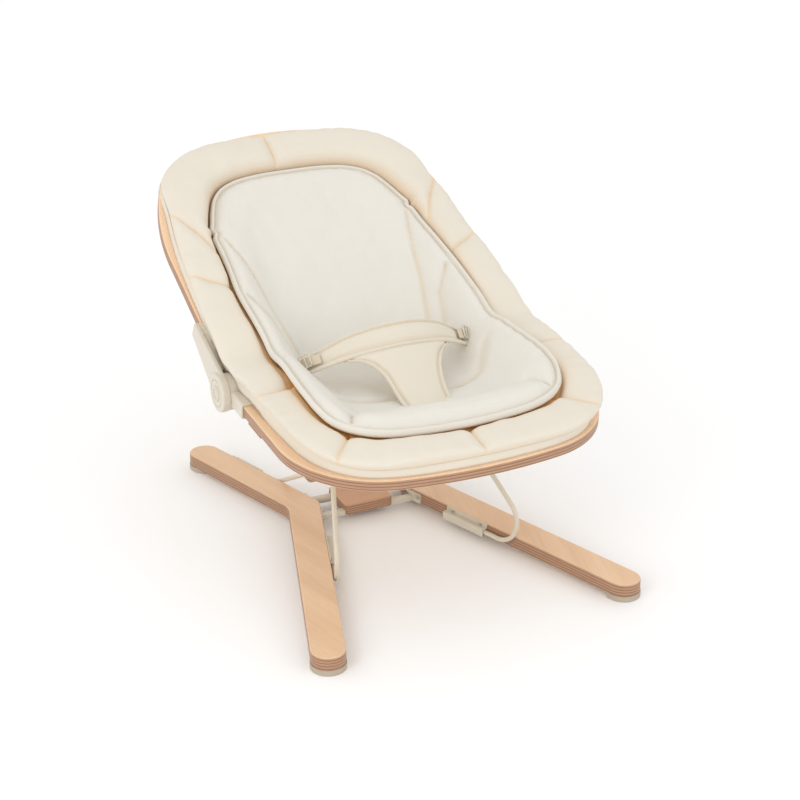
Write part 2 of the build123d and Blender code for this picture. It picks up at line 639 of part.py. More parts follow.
with BuildPart() as left_hinge_lower_housing:
    mirror(right_hinge_lower_housing.part, about=Plane.YZ)
left_hinge_lower_housing.part.label = "left_hinge_lower_housing"
export_step(left_hinge_lower_housing.part, "parts/left_hinge_lower_housing.step")

bd = (math.cos(math.radians(BACK_SLOPE)), math.sin(math.radians(BACK_SLOPE)))
with BuildPart() as right_hinge_upper_housing:
    # outer cheek: a tapered plate from the hub up to the hoop's sleeve
    with BuildSketch(hub_plane(HUB_SPLIT + HUB_GAP)):
        Circle(HUB_R + 1.0)
        with BuildLine():
            Polyline((-bd[1] * 26 - 0.0, bd[0] * 26), (bd[0] * UPPER_V - bd[1] * 11, bd[1] * UPPER_V + bd[0] * 11),
                     (bd[0] * UPPER_V + bd[1] * 11, bd[1] * UPPER_V - bd[0] * 11),
                     (bd[1] * 26, -bd[0] * 26), close=True)
        make_face()
    extrude(amount=6.0)
    fillet(right_hinge_upper_housing.faces().sort_by(Axis.X)[-1].edges(), 2.5)
    with BuildSketch(hub_plane(HUB_SPLIT + HUB_GAP)):
        Circle(HUB_R + 1.0)
    extrude(amount=HUB_OUT - HUB_SPLIT - HUB_GAP)
    fillet(right_hinge_upper_housing.faces().sort_by(Axis.X)[-1].edges(), 3.0)
    # sleeve round the back hoop's end
    with BuildSketch(cross_plane(back_plane, 28.5)):
        with Locations((SLEEVE_C + 1.0, 0)):
            RectangleRounded(SLEEVE_W + 2.0, 22.0, 4.0)
    extrude(amount=UPPER_V - 28.5)
    fillet(right_hinge_upper_housing.faces().sort_by(Axis((0, 0, 0), tuple(back_plane.y_dir)))[-1].edges(), 1.0)
    with BuildSketch(cross_plane(back_plane, BACK_WOOD_END - 0.5)):
        with Locations((bh - BAND / 2 + 0.4, 0)):
            Rectangle(BAND + 1.7, HOOP_T + 0.5)
    extrude(amount=40.0, mode=Mode.SUBTRACT)
    # bearing ring that turns in the lower housing's groove
    with BuildSketch(hub_plane(214.4)):
        Circle(RING_OUT)
        Circle(RING_IN, mode=Mode.SUBTRACT)
    extrude(amount=HUB_SPLIT + HUB_GAP - 214.4 + 1.0)
    # lock pocket and button bore
    with BuildSketch(hub_plane(HUB_SPLIT)):
        Circle(15.4)
    extrude(amount=229.0 - HUB_SPLIT, mode=Mode.SUBTRACT)
    with BuildSketch(hub_plane(HUB_SPLIT)):
        Circle(11.15)
    extrude(amount=20.0, mode=Mode.SUBTRACT)
    # ring line round the button
    with BuildSketch(hub_plane(HUB_OUT - 0.8)):
        Circle(19.0)
        Circle(17.8, mode=Mode.SUBTRACT)
    extrude(amount=3.0, mode=Mode.SUBTRACT)
right_hinge_upper_housing.part.label = "right_hinge_upper_housing"
export_step(right_hinge_upper_housing.part, "parts/right_hinge_upper_housing.step")

with BuildPart() as left_hinge_upper_housing:
    mirror(right_hinge_upper_housing.part, about=Plane.YZ)
left_hinge_upper_housing.part.label = "left_hinge_upper_housing"
export_step(left_hinge_upper_housing.part, "parts/left_hinge_upper_housing.step")

with BuildPart() as right_hinge_pin:
    with BuildSketch(hub_plane(HUB_IN - 2.0)):
        Circle(6.0)
    extrude(amount=2.0)
    fillet(right_hinge_pin.edges().group_by(Axis.X)[0], 1.0)
    with BuildSketch(hub_plane(HUB_IN - 1.0)):
        Circle(3.0)
    extrude(amount=23.0)
right_hinge_pin.part.label = "right_hinge_pin"
export_step(right_hinge_pin.part, "parts/right_hinge_pin.step")

with BuildPart() as left_hinge_pin:
    mirror(right_hinge_pin.part, about=Plane.YZ)
left_hinge_pin.part.label = "left_hinge_pin"
export_step(left_hinge_pin.part, "parts/left_hinge_pin.step")

with BuildPart() as right_lock_gear:
    with BuildSketch(hub_plane(219.2)):
        Circle(12.4)
        with PolarLocations(13.2, 12):
            Rectangle(3.2, 3.4)
    extrude(amount=9.0)
    with BuildSketch(hub_plane(219.2)):
        Circle(3.06)
    extrude(amount=9.0, mode=Mode.SUBTRACT)
right_lock_gear.part.label = "right_lock_gear"
export_step(right_lock_gear.part, "parts/right_lock_gear.step")

with BuildPart() as left_lock_gear:
    mirror(right_lock_gear.part, about=Plane.YZ)
left_lock_gear.part.label = "left_lock_gear"
export_step(left_lock_gear.part, "parts/left_lock_gear.step")

with BuildPart() as right_hinge_button:
    with BuildSketch(hub_plane(228.2)):
        Circle(11.0)
    extrude(amount=HUB_OUT + 1.6 - 228.2)
    fillet(right_hinge_button.edges().group_by(Axis.X)[-1], 1.4)
    with BuildSketch(hub_plane(HUB_OUT + 1.0)):
        Circle(7.0)
    extrude(amount=3.0, mode=Mode.SUBTRACT)
right_hinge_button.part.label = "right_hinge_button"
export_step(right_hinge_button.part, "parts/right_hinge_button.step")

with BuildPart() as left_hinge_button:
    mirror(right_hinge_button.part, about=Plane.YZ)
left_hinge_button.part.label = "left_hinge_button"
export_step(left_hinge_button.part, "parts/left_hinge_button.step")

# return spring of the button, round the guide pin
with BuildLine() as coil_path:
    Helix(pitch=2.2, height=4.4, radius=7.0)
with BuildPart() as coil:
    with BuildSketch(Plane(origin=coil_path.wire() @ 0, z_dir=coil_path.wire() % 0)):
        Circle(0.6)
    sweep(path=coil_path.wire(), is_frenet=True)
with BuildPart() as right_button_spring:
    add(coil.part.moved(Location(hub_plane(213.7))))
right_button_spring.part.label = "right_button_spring"
export_step(right_button_spring.part, "parts/right_button_spring.step")

with BuildPart() as left_button_spring:
    mirror(right_button_spring.part, about=Plane.YZ)
left_button_spring.part.label = "left_button_spring"
export_step(left_button_spring.part, "parts/left_button_spring.step")

# screws through each sleeve into the hoop's end
with BuildPart() as right_lower_screws:
    with BuildSketch(seat_plane.offset(-13.2)):
        with Locations((193.0, -49.0), (210.0, -49.0)):
            Circle(3.4)
    extrude(amount=2.2)
    with BuildSketch(seat_plane.offset(-12.0)):
        with Locations((193.0, -49.0), (210.0, -49.0)):
            Circle(1.7)
    extrude(amount=16.0)
with BuildPart() as seat_hinge_screws:
    add(right_lower_screws.part)
    mirror(right_lower_screws.part, about=Plane.YZ)
seat_hinge_screws.part.label = "seat_hinge_screws"
export_step(seat_hinge_screws.part, "parts/seat_hinge_screws.step")

with BuildPart() as right_upper_screws:
    with BuildSketch(back_plane.offset(-13.2)):
        with Locations((192.0, 97.0), (208.0, 97.0)):
            Circle(3.4)
    extrude(amount=2.2)
    with BuildSketch(back_plane.offset(-12.0)):
        with Locations((192.0, 97.0), (208.0, 97.0)):
            Circle(1.7)
    extrude(amount=16.0)
with BuildPart() as back_hinge_screws:
    add(right_upper_screws.part)
    mirror(right_upper_screws.part, about=Plane.YZ)
back_hinge_screws.part.label = "back_hinge_screws"
export_step(back_hinge_screws.part, "parts/back_hinge_screws.step")

seat_screw_pts = [(s * x, -49.0) for s in (1, -1) for x in (193.0, 210.0)]
back_screw_pts = [(s * x, 97.0) for s in (1, -1) for x in (192.0, 208.0)]
for target, label, plane, pts in (
        (right_hinge_lower_housing, "right_hinge_lower_housing", seat_plane, seat_screw_pts),
        (left_hinge_lower_housing, "left_hinge_lower_housing", seat_plane, seat_screw_pts),
        (seat_hoop, "seat_hoop", seat_plane, seat_screw_pts),
        (right_hinge_upper_housing, "right_hinge_upper_housing", back_plane, back_screw_pts),
        (left_hinge_upper_housing, "left_hinge_upper_housing", back_plane, back_screw_pts),
        (back_hoop, "back_hoop", back_plane, back_screw_pts)):
    with target:
        with BuildSketch(plane.offset(-12.5)):
            with Locations(*pts):
                Circle(1.75)
        extrude(amount=16.7, mode=Mode.SUBTRACT)
    target.part.label = label
    export_step(target.part, "parts/" + label + ".step")

# ----------------------------------------------------------------- soft -----
RIM_TOP = 32.0
RIM_IN = 58.0


def closed_seat(end_v, d):
    draw_seat(end_v, d)
    Line((-SEAT_HALF + d, end_v), (SEAT_HALF - d, end_v))
    make_face()


# quilted cover, seat part: a rim on the hoop and a shallow tub inside it
SEAT_SOFT_V = -16.0
with BuildPart() as seat_cover:
    with BuildSketch(seat_plane.offset(HOOP_T / 2 + 0.4)):
        with BuildLine():
            draw_seat(-66.0, 5.0)
            Line((-SEAT_HALF + 5, -66), (SEAT_HALF - 5, -66))
        make_face()
    extrude(amount=RIM_TOP - HOOP_T / 2)
    for h0, d0, h1, d1 in ((-40.0, 74.0, -9.0, BAND + 5.0), (-9.0, BAND + 5.0, RIM_TOP, BAND + 5.0)):
        for hh, dd in ((h0, d0), (h1, d1)):
            with BuildSketch(seat_plane.offset(hh)):
                with BuildLine():
                    draw_seat(SEAT_SOFT_V, dd)
                    Line((-SEAT_HALF + dd, SEAT_SOFT_V), (SEAT_HALF - dd, SEAT_SOFT_V))
                make_face()
        loft(ruled=True)
    for h0, d0, h1, d1 in ((-24.0, 84.0, -5.0, RIM_IN + 4.0), (-5.0, RIM_IN + 4.0, RIM_TOP + 6, RIM_IN + 4.0)):
        for hh, dd in ((h0, d0), (h1, d1)):
            with BuildSketch(seat_plane.offset(hh)):
                with BuildLine():
                    draw_seat(10.0, dd)
                    Line((-SEAT_HALF + dd, 10.0), (SEAT_HALF - dd, 10.0))
                make_face()
        loft(ruled=True, mode=Mode.SUBTRACT)
seat_cover.part.label = "seat_cover"
export_step(seat_cover.part, "parts/seat_cover.step")

BACK_SOFT_V = 16.0
with BuildPart() as back_cover:
    with BuildSketch(back_plane.offset(HOOP_T / 2 + 0.4)):
        with BuildLine():
            h = draw_back(118.0, 6.0)
            Line((-h, 118.0), (h, 118.0))
        make_face()
    extrude(amount=RIM_TOP - HOOP_T / 2 - 6)
    # top pocket that wraps the hoop
    with BuildSketch(back_plane.offset(-HOOP_T / 2 - 4.0)):
        with BuildLine():
            h = draw_back(200.0, -7.0)
            Line((-h, 200.0), (h, 200.0))
        make_face()
        with Locations((0, 250)):
            Rectangle(600, 270, mode=Mode.SUBTRACT)
    extrude(amount=HOOP_T / 2 + 4.0 + RIM_TOP - 14)
    with BuildSketch(back_plane.offset(-46.0)):
        with BuildLine():
            h = draw_back(BACK_SOFT_V, BAND + 5.0)
            Line((-h, BACK_SOFT_V), (h, BACK_SOFT_V))
        make_face()
    extrude(amount=46.0 + RIM_TOP - 14)
    with BuildSketch(back_plane.offset(-26.0)):
        with BuildLine():
            h = draw_back(-10.0, RIM_IN + 6)
            Line((-h, -10.0), (h, -10.0))
        make_face()
    extrude(amount=120.0, mode=Mode.SUBTRACT)
    # room for the hoop
    with BuildSketch(back_plane.offset(-HOOP_T / 2 - 0.4)):
        with BuildLine():
            h = draw_back(60.0, -0.4)
            h2 = draw_back(60.0, BAND + 0.4)
            Line((-h, 60.0), (-h2, 60.0))
            Line((h2, 60.0), (h, 60.0))
        make_face()
    extrude(amount=HOOP_T + 0.8, mode=Mode.SUBTRACT)
back_cover.part.label = "back_cover"
export_step(back_cover.part, "parts/back_cover.step")

# thin loose liner on the cover
with BuildPart() as seat_liner:
    with BuildSketch(seat_plane.offset(-23.6)):
        with Locations((0, -120)):
            RectangleRounded(214, 168, 62)
    extrude(amount=16.0)
    fillet(seat_liner.faces().sort_by(Axis((0, 0, 0), tuple(seat_plane.z_dir)))[-1].edges(), 6.0)
seat_liner.part.label = "seat_liner"
export_step(seat_liner.part, "parts/seat_liner.step")

with BuildPart() as back_liner:
    with BuildSketch(back_plane.offset(-25.6)):
        with Locations((0, 196)):
            RectangleRounded(292, 346, 70)
    extrude(amount=16.0)
    fillet(back_liner.faces().sort_by(Axis((0, 0, 0), tuple(back_plane.z_dir)))[-1].edges(), 6.0)
back_liner.part.label = "back_liner"
export_step(back_liner.part, "parts/back_liner.step")

# harness: a T-shaped crotch pad standing up over the seat at 30 degrees, waist webbing and two strap adjusters
PAD_TILT = SEAT_SLOPE + 30.0
pad_plane = Plane(origin=tuple(seat_plane.from_local_coords((0, -98, 42))), x_dir=(1, 0, 0),
                  z_dir=(0, -math.sin(math.radians(PAD_TILT)), math.cos(math.radians(PAD_TILT))))
with BuildPart() as crotch_pad:
    with BuildSketch(pad_plane):
        with Locations((0, -34)):
            RectangleRounded(70, 127, 12)
        with Locations((0, 42)):
            RectangleRounded(200, 37, 14)
    extrude(amount=12.0)
    fillet(crotch_pad.faces().sort_by(Axis((0, 0, 0), tuple(pad_plane.z_dir)))[-1].edges(), 4.0)
crotch_pad.part.label = "crotch_pad"
export_step(crotch_pad.part, "parts/crotch_pad.step")

for sgn, name in ((1, "right"), (-1, "left")):
    with BuildPart() as webbing:
        with BuildSketch(pad_plane.offset(5.0)):
            with Locations((sgn * 115.5, 42)):
                Rectangle(30.0, 20.0)
        extrude(amount=1.8)
    webbing.part.label = name + "_waist_webbing"
    export_step(webbing.part, "parts/" + name + "_waist_webbing.step")

    with BuildPart() as adjuster:
        with BuildSketch(pad_plane.offset(7.0)):
            with Locations((sgn * 115.5, 42)):
                RectangleRounded(24.0, 26.0, 3.0)
            with Locations((sgn * 115.5 - 6.0, 42), (sgn * 115.5 + 6.0, 42)):
                Rectangle(6.0, 20.5, mode=Mode.SUBTRACT)
        extrude(amount=3.4)
        fillet(adjuster.faces().sort_by(Axis((0, 0, 0), tuple(pad_plane.z_dir)))[-1].edges(), 0.8)
    adjuster.part.label = name + "_strap_adjuster"
    export_step(adjuster.part, "parts/" + name + "_strap_adjuster.step")
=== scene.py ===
import math

import bpy
import numpy as np
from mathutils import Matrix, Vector


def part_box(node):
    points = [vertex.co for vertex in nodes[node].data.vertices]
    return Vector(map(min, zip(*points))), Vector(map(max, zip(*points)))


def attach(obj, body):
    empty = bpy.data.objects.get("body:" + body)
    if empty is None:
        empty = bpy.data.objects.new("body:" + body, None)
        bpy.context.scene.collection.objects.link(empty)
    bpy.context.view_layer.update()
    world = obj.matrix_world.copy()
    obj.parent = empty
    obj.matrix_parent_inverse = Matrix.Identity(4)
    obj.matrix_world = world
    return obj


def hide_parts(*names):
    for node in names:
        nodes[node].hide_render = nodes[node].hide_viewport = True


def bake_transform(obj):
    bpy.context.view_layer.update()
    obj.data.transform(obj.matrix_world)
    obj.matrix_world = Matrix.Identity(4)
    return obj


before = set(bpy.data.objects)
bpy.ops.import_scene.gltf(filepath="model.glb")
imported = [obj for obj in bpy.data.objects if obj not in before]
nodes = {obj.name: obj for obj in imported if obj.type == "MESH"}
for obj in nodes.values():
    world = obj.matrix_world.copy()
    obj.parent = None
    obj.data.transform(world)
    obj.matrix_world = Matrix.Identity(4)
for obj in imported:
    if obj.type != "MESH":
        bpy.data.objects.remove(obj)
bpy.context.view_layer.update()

scene = bpy.context.scene
scene.view_settings.view_transform = "Standard"
scene.view_settings.look = "None"

# ---------------------------------------------------------------- the two planes
# Millimetres. v runs along a hoop's plane from the hinge axis (seat negative, back positive),
# n is the height above the hoop's middle plane, x is across.
HINGE_Y, HINGE_Z = -34.379, 252.0
SEAT, BACK = math.radians(4.0), math.radians(29.0)


def ss(a, b, x):
    t = np.clip((np.asarray(x, float) - a) / (b - a), 0, 1)
    return t * t * (3 - 2 * t)


def curve(points, x):
    """A smooth curve through the points (monotone cubic), held at its ends."""
    xs = np.array([p[0] for p in points], float)
    ys = np.array([p[1] for p in points], float)
    h = np.diff(xs)
    d = np.diff(ys) / h
    m = np.zeros(len(xs))
    for i in range(1, len(xs) - 1):
        if d[i - 1] * d[i] > 0:
            w1, w2 = 2 * h[i] + h[i - 1], h[i] + 2 * h[i - 1]
            m[i] = (w1 + w2) / (w1 / d[i - 1] + w2 / d[i])
    x = np.clip(np.asarray(x, float), xs[0], xs[-1])
    i = np.clip(np.searchsorted(xs, x, side="right") - 1, 0, len(xs) - 2)
    t = (x - xs[i]) / h[i]
    return ((2 * t ** 3 - 3 * t ** 2 + 1) * ys[i] + (t ** 3 - 2 * t ** 2 + t) * h[i] * m[i]
            + (-2 * t ** 3 + 3 * t ** 2) * ys[i + 1] + (t ** 3 - t ** 2) * h[i] * m[i + 1])


def place(x, v, n):
    """Plan coordinates in mm to the row frame in metres, bending smoothly over the hinge."""
    x, v, n = (np.asarray(k, float) for k in (x, v, n))
    out = []
    for a in (SEAT, BACK):
        out.append(np.stack([x, HINGE_Y + v * math.cos(a) - n * math.sin(a), HINGE_Z + v * math.sin(a) + n * math.cos(a)], -1))
    w = ss(-60, 60, v)[..., None]
    return ((1 - w) * out[0] + w * out[1]) / 1000


def loop(points, count):
    """A closed smooth outline, symmetric about x = 0, from its right half's points, top to bottom."""
    pts = np.array(list(points) + [(-x, v) for x, v in points[-2:0:-1]], float)
    k = len(pts)
    fine = []
    for i in range(k):
        p0, p1, p2, p3 = pts[i - 1], pts[i], pts[(i + 1) % k], pts[(i + 2) % k]
        t0 = 0.0
        t1 = t0 + np.linalg.norm(p1 - p0) ** 0.5
        t2 = t1 + np.linalg.norm(p2 - p1) ** 0.5
        t3 = t2 + np.linalg.norm(p3 - p2) ** 0.5
        t = np.linspace(t1, t2, 24, endpoint=False)[:, None]
        a1 = (t1 - t) / (t1 - t0) * p0 + (t - t0) / (t1 - t0) * p1
        a2 = (t2 - t) / (t2 - t1) * p1 + (t - t1) / (t2 - t1) * p2
        a3 = (t3 - t) / (t3 - t2) * p2 + (t - t2) / (t3 - t2) * p3
        b1 = (t2 - t) / (t2 - t0) * a1 + (t - t0) / (t2 - t0) * a2
        b2 = (t3 - t) / (t3 - t1) * a2 + (t - t1) / (t3 - t1) * a3
        fine.append((t2 - t) / (t2 - t1) * b1 + (t - t1) / (t2 - t1) * b2)
    fine = np.concatenate(fine)
    closed = np.vstack([fine, fine[:1]])
    s = np.concatenate([[0], np.cumsum(np.linalg.norm(np.diff(closed, axis=0), axis=1))])
    u = np.linspace(0, s[-1], count, endpoint=False)
    return np.stack([np.interp(u, s, closed[:, 0]), np.interp(u, s, closed[:, 1])], -1)


def to_lines(p, lines):
    """Distance from each point to the nearest of the segments, and how far along them it lies (mm)."""
    best = np.full(len(p), 1e9)
    for a, b in lines:
        a, b = np.array(a, float), np.array(b, float)
        d = b - a
        t = np.clip(((p - a) @ d) / (d @ d), 0, 1)
        best = np.minimum(best, np.linalg.norm(p - (a + t[:, None] * d), axis=1))
    return best


def to_loop(p, outline):
    """Signed distance to a closed outline: positive inside."""
    p = np.asarray(p, float)
    a = outline
    b = np.roll(outline, -1, 0)
    d = b - a
    dd = (d ** 2).sum(1)
    out = np.empty(len(p))
    for i in range(0, len(p), 4000):
        q = p[i:i + 4000, None, :]
        t = np.clip(((q - a) * d).sum(2) / dd, 0, 1)
        dist = np.linalg.norm(q - (a + t[..., None] * d), axis=2).min(1)
        y1, y2 = a[:, 1], b[:, 1]
        cross = (y1 > q[..., 1]) != (y2 > q[..., 1])
        xs = a[:, 0] + (q[..., 1] - y1) / np.where(y2 == y1, 1e-9, y2 - y1) * d[:, 0]
        inside = (cross & (q[..., 0] < xs)).sum(1) % 2 == 1
        out[i:i + 4000] = np.where(inside, dist, -dist)
    return out


def wobble(x, v, seed, scale):
    """Smooth seeded unevenness, about -1 to 1, of the given wavelength in mm."""
    r = np.random.RandomState(seed)
    out = np.zeros_like(np.asarray(x, float))
    for _ in range(7):
        ang = r.uniform(0, math.tau)
        k = math.tau / (scale * r.uniform(0.7, 1.5))
        out = out + np.sin(k * (x * math.cos(ang) + v * math.sin(ang)) + r.uniform(0, math.tau))
    return out / 3.6


def new_mesh(name, verts, faces, uv=None, attrs=()):
    me = bpy.data.meshes.new(name)
    me.from_pydata([tuple(p) for p in verts], [], faces)
    if uv is not None:
        layer = me.uv_layers.new(name="cloth")
        idx = np.empty(len(me.loops), np.int32)
        me.loops.foreach_get("vertex_index", idx)
        layer.data.foreach_set("uv", np.asarray(uv, np.float32)[idx].ravel())
    for key, values in attrs:
        at = me.attributes.new(key, "FLOAT", "POINT")
        at.data.foreach_set("value", np.asarray(values, np.float32))
    me.validate()
    me.shade_smooth()
    ob = bpy.data.objects.new(name, me)
    scene.collection.objects.link(ob)
    return ob


# ---------------------------------------------------------------- materials
def material(name):
    m = bpy.data.materials.new(name)
    m.use_nodes = True
    nt = m.node_tree
    nt.nodes.clear()
    out = nt.nodes.new("ShaderNodeOutputMaterial")
    bsdf = nt.nodes.new("ShaderNodeBsdfPrincipled")
    nt.links.new(bsdf.outputs["BSDF"], out.inputs["Surface"])
    return m, nt, bsdf


class Net:
    """Short hands for shader nodes."""

    def __init__(self, nt):
        self.nt = nt

    def node(self, kind, **props):
        n = self.nt.nodes.new(kind)
        for k, v in props.items():
            setattr(n, k, v)
        return n

    def put(self, socket, value):
        if isinstance(value, bpy.types.NodeSocket):
            self.nt.links.new(value, socket)
        elif value is not None:
            socket.default_value = value

    def math(self, op, a, b=None, c=None, clamp=False):
        n = self.node("ShaderNodeMath", operation=op, use_clamp=clamp)
        for s, val in zip(n.inputs, (a, b, c)):
            self.put(s, val)
        return n.outputs[0]

    def vec(self, op, a, b=None):
        n = self.node("ShaderNodeVectorMath", operation=op)
        self.put(n.inputs[0], a)
        self.put(n.inputs[1], b)
        return n.outputs["Value"] if op in ("DOT_PRODUCT", "LENGTH") else n.outputs["Vector"]

    def noise(self, vector, scale, detail=3.0, rough=0.5, dims="3D"):
        n = self.node("ShaderNodeTexNoise", noise_dimensions=dims)
        self.put(n.inputs["Vector"], vector)
        self.put(n.inputs["Scale"], scale)
        self.put(n.inputs["Detail"], detail)
        self.put(n.inputs["Roughness"], rough)
        return n.outputs["Fac"]

    def mapping(self, vector, scale=(1, 1, 1), rot=(0, 0, 0), loc=(0, 0, 0)):
        n = self.node("ShaderNodeMapping")
        self.put(n.inputs["Vector"], vector)
        n.inputs["Scale"].default_value = scale
        n.inputs["Rotation"].default_value = rot
        n.inputs["Location"].default_value = loc
        return n.outputs[0]

    def ramp(self, fac, stops):
        n = self.node("ShaderNodeValToRGB")
        self.put(n.inputs[0], fac)
        e = n.color_ramp.elements
        while len(e) < len(stops):
            e.new(0.5)
        for el, (p, c) in zip(e, stops):
            el.position = p
            el.color = (*c, 1)
        return n.outputs[0]

    def mix(self, fac, a, b, kind="MIX"):
        n = self.node("ShaderNodeMix", data_type="RGBA", blend_type=kind)
        self.put(n.inputs[0], fac)
        for s, val in ((n.inputs[6], a), (n.inputs[7], b)):
            if isinstance(val, tuple):
                s.default_value = (*val, 1)
            else:
                self.put(s, val)
        return n.outputs[2]

    def bump(self, height, strength, distance, normal=None):
        n = self.node("ShaderNodeBump")
        n.inputs["Strength"].default_value = strength
        n.inputs["Distance"].default_value = distance
        self.put(n.inputs["Height"], height)
        self.put(n.inputs["Normal"], normal)
        return n.outputs[0]


def cloth(name, colour, painted_shade_colour, seam_colour, weave=1.0, twill=False, cloud=0.03, rough=0.86, sheen=0.12):
    """Woven cotton: plain weave or twill at thread scale, thread slubs, soft wear and painted warm shade in creases,
    seams and undersides.
    """
    m, nt, b = material(name)
    k = Net(nt)
    uv = k.node("ShaderNodeUVMap", uv_map="cloth").outputs[0]
    pos = k.node("ShaderNodeTexCoord").outputs["Object"]
    pitch = 0.00062 * weave
    sep = k.node("ShaderNodeSeparateXYZ")
    k.put(sep.inputs[0], uv)
    u, v = sep.outputs[0], sep.outputs[1]
    su = k.math("SINE", k.math("MULTIPLY", u, math.pi / pitch))
    sv = k.math("SINE", k.math("MULTIPLY", v, math.pi / pitch))
    if twill:
        diag = k.math("SINE", k.math("MULTIPLY", k.math("ADD", u, v), math.pi / (pitch * 1.3)))
        height = k.math("ADD", k.math("MULTIPLY", diag, 0.5), k.math("MULTIPLY", k.math("ABSOLUTE", su), 0.5))
    else:
        over = k.math("MULTIPLY", su, sv)
        height = k.math("ADD", k.math("MULTIPLY", over, 0.5), k.math("MULTIPLY", k.math("ADD", k.math("ABSOLUTE", su), k.math("ABSOLUTE", sv)), 0.25))
    slub_a = k.noise(k.mapping(uv, (35, 1500, 1)), 1.0, 2.0, 0.5)
    slub_b = k.noise(k.mapping(uv, (1500, 35, 1)), 1.0, 2.0, 0.5)
    slub = k.math("ADD", slub_a, slub_b)
    soft = k.noise(pos, 9.0, 3.0, 0.55)
    fine = k.noise(pos, 70.0, 4.0, 0.6)
    painted_shade_mask = k.node("ShaderNodeAttribute", attribute_name="painted_crease_shade").outputs["Fac"]
    dark = tuple(c * 0.93 for c in colour)
    light = tuple(min(1, c * 1.02) for c in colour)
    base = k.mix(k.math("MULTIPLY_ADD", k.math("SUBTRACT", soft, 0.5), cloud * 14, 0.5, clamp=True), dark, light)
    base = k.mix(k.math("MULTIPLY", k.math("SUBTRACT", 1.05, slub, clamp=True), 0.5, clamp=True), base, tuple(c * 0.86 for c in colour))
    # painted shade: the crease attribute blends the cloth towards a warm shade colour in creases, seams and hidden
    # undersides
    base = k.mix(painted_shade_mask, base, painted_shade_colour)
    stitch = k.node("ShaderNodeAttribute", attribute_name="seam").outputs["Fac"]
    base = k.mix(stitch, base, seam_colour)
    k.put(b.inputs["Base Color"], base)
    k.put(b.inputs["Roughness"], k.math("MULTIPLY_ADD", fine, 0.12, rough - 0.06))
    b.inputs["Sheen Weight"].default_value = sheen
    b.inputs["Sheen Roughness"].default_value = 0.45
    b.inputs["Sheen Tint"].default_value = (*light, 1)
    b.inputs["Specular IOR Level"].default_value = 0.25
    nrm = k.bump(fine, 0.10, 0.0016)
    nrm = k.bump(slub, 0.25, 0.00025, nrm)
    nrm = k.bump(height, 0.45, 0.00018, nrm)
    k.put(b.inputs["Normal"], nrm)
    return m


def wood(name, normal, point, grain, light, dark, edge_light, edge_dark, plies, thick):
    """Beech plywood: face veneer with fine grain and rays, and the plies as stripes on every cut edge."""
    m, nt, b = material(name)
    k = Net(nt)
    pos = k.node("ShaderNodeTexCoord").outputs["Object"]
    geo = k.node("ShaderNodeNewGeometry").outputs["Normal"]
    rel = k.vec("SUBTRACT", pos, tuple(point))
    n = k.vec("DOT_PRODUCT", rel, tuple(normal))
    edge = k.math("SUBTRACT", 1.0, k.math("ABSOLUTE", k.vec("DOT_PRODUCT", geo, tuple(normal))), clamp=True)
    edge = k.node("ShaderNodeMapRange")
    edge.inputs["From Min"].default_value = 0.25
    edge.inputs["From Max"].default_value = 0.75
    edge.interpolation_type = "SMOOTHSTEP"
    k.put(edge.inputs["Value"], k.math("SUBTRACT", 1.0, k.math("ABSOLUTE", k.vec("DOT_PRODUCT", geo, tuple(normal)))))
    edge = edge.outputs[0]
    # grain runs along `grain`; the other in-plane axis is across
    g = Vector(grain).normalized()
    a = Vector(normal).cross(g).normalized()
    along = k.vec("DOT_PRODUCT", rel, tuple(g))
    across = k.vec("DOT_PRODUCT", rel, tuple(a))
    comb = k.node("ShaderNodeCombineXYZ")
    k.put(comb.inputs[0], along)
    k.put(comb.inputs[1], across)
    k.put(comb.inputs[2], n)
    plan = comb.outputs[0]
    broad = k.noise(k.mapping(plan, (2.5, 34, 10)), 1.0, 3.0, 0.55)
    fine = k.noise(k.mapping(plan, (26, 620, 60)), 1.0, 3.0, 0.6)
    flecks = k.noise(k.mapping(plan, (190, 1500, 200)), 1.0, 2.0, 0.5)
    rays = k.node("ShaderNodeMapRange")
    rays.inputs["From Min"].default_value = 0.62
    rays.inputs["From Max"].default_value = 0.74
    k.put(rays.inputs["Value"], flecks)
    face = k.mix(k.math("MULTIPLY_ADD", k.math("SUBTRACT", broad, 0.5), 2.2, 0.5, clamp=True), light, dark)
    face = k.mix(k.math("MULTIPLY", k.math("SUBTRACT", fine, 0.45, clamp=True), 0.9, clamp=True), face, tuple(c * 0.72 for c in dark))
    face = k.mix(k.math("MULTIPLY", rays.outputs[0], 0.32), face, tuple(c * 0.62 for c in dark))
    # plies on the edge
    ply = thick / plies
    s = k.math("DIVIDE", k.math("ADD", n, thick / 2), ply)
    s = k.math("ADD", s, k.math("MULTIPLY", k.math("SUBTRACT", k.noise(k.mapping(plan, (9, 9, 9)), 1.0, 2.0, 0.5), 0.5), 0.18))
    tri = k.math("PINGPONG", s, 1.0)
    line = k.math("POWER", k.math("SUBTRACT", 1.0, k.math("PINGPONG", s, 0.5)), 6.0)
    band = k.ramp(tri, [(0.0, edge_light), (0.45, edge_light), (0.55, edge_dark), (1.0, edge_dark)])
    streak = k.noise(k.mapping(plan, (55, 55, 900)), 1.0, 3.0, 0.6)
    band = k.mix(k.math("MULTIPLY", k.math("SUBTRACT", streak, 0.4, clamp=True), 1.1, clamp=True), band, tuple(c * 0.66 for c in edge_dark))
    band = k.mix(k.math("MULTIPLY", line, 0.5, clamp=True), band, tuple(c * 0.45 for c in edge_dark))
    k.put(b.inputs["Base Color"], k.mix(edge, face, band))
    k.put(b.inputs["Roughness"], k.math("MULTIPLY_ADD", fine, 0.16, 0.40))
    b.inputs["Specular IOR Level"].default_value = 0.42
    b.inputs["Coat Weight"].default_value = 0.12
    b.inputs["Coat Roughness"].default_value = 0.35
    nrm = k.bump(fine, 0.22, 0.00025)
    nrm = k.bump(k.math("MULTIPLY", line, edge), 0.35, 0.00025, nrm)
    k.put(b.inputs["Normal"], nrm)
    return m


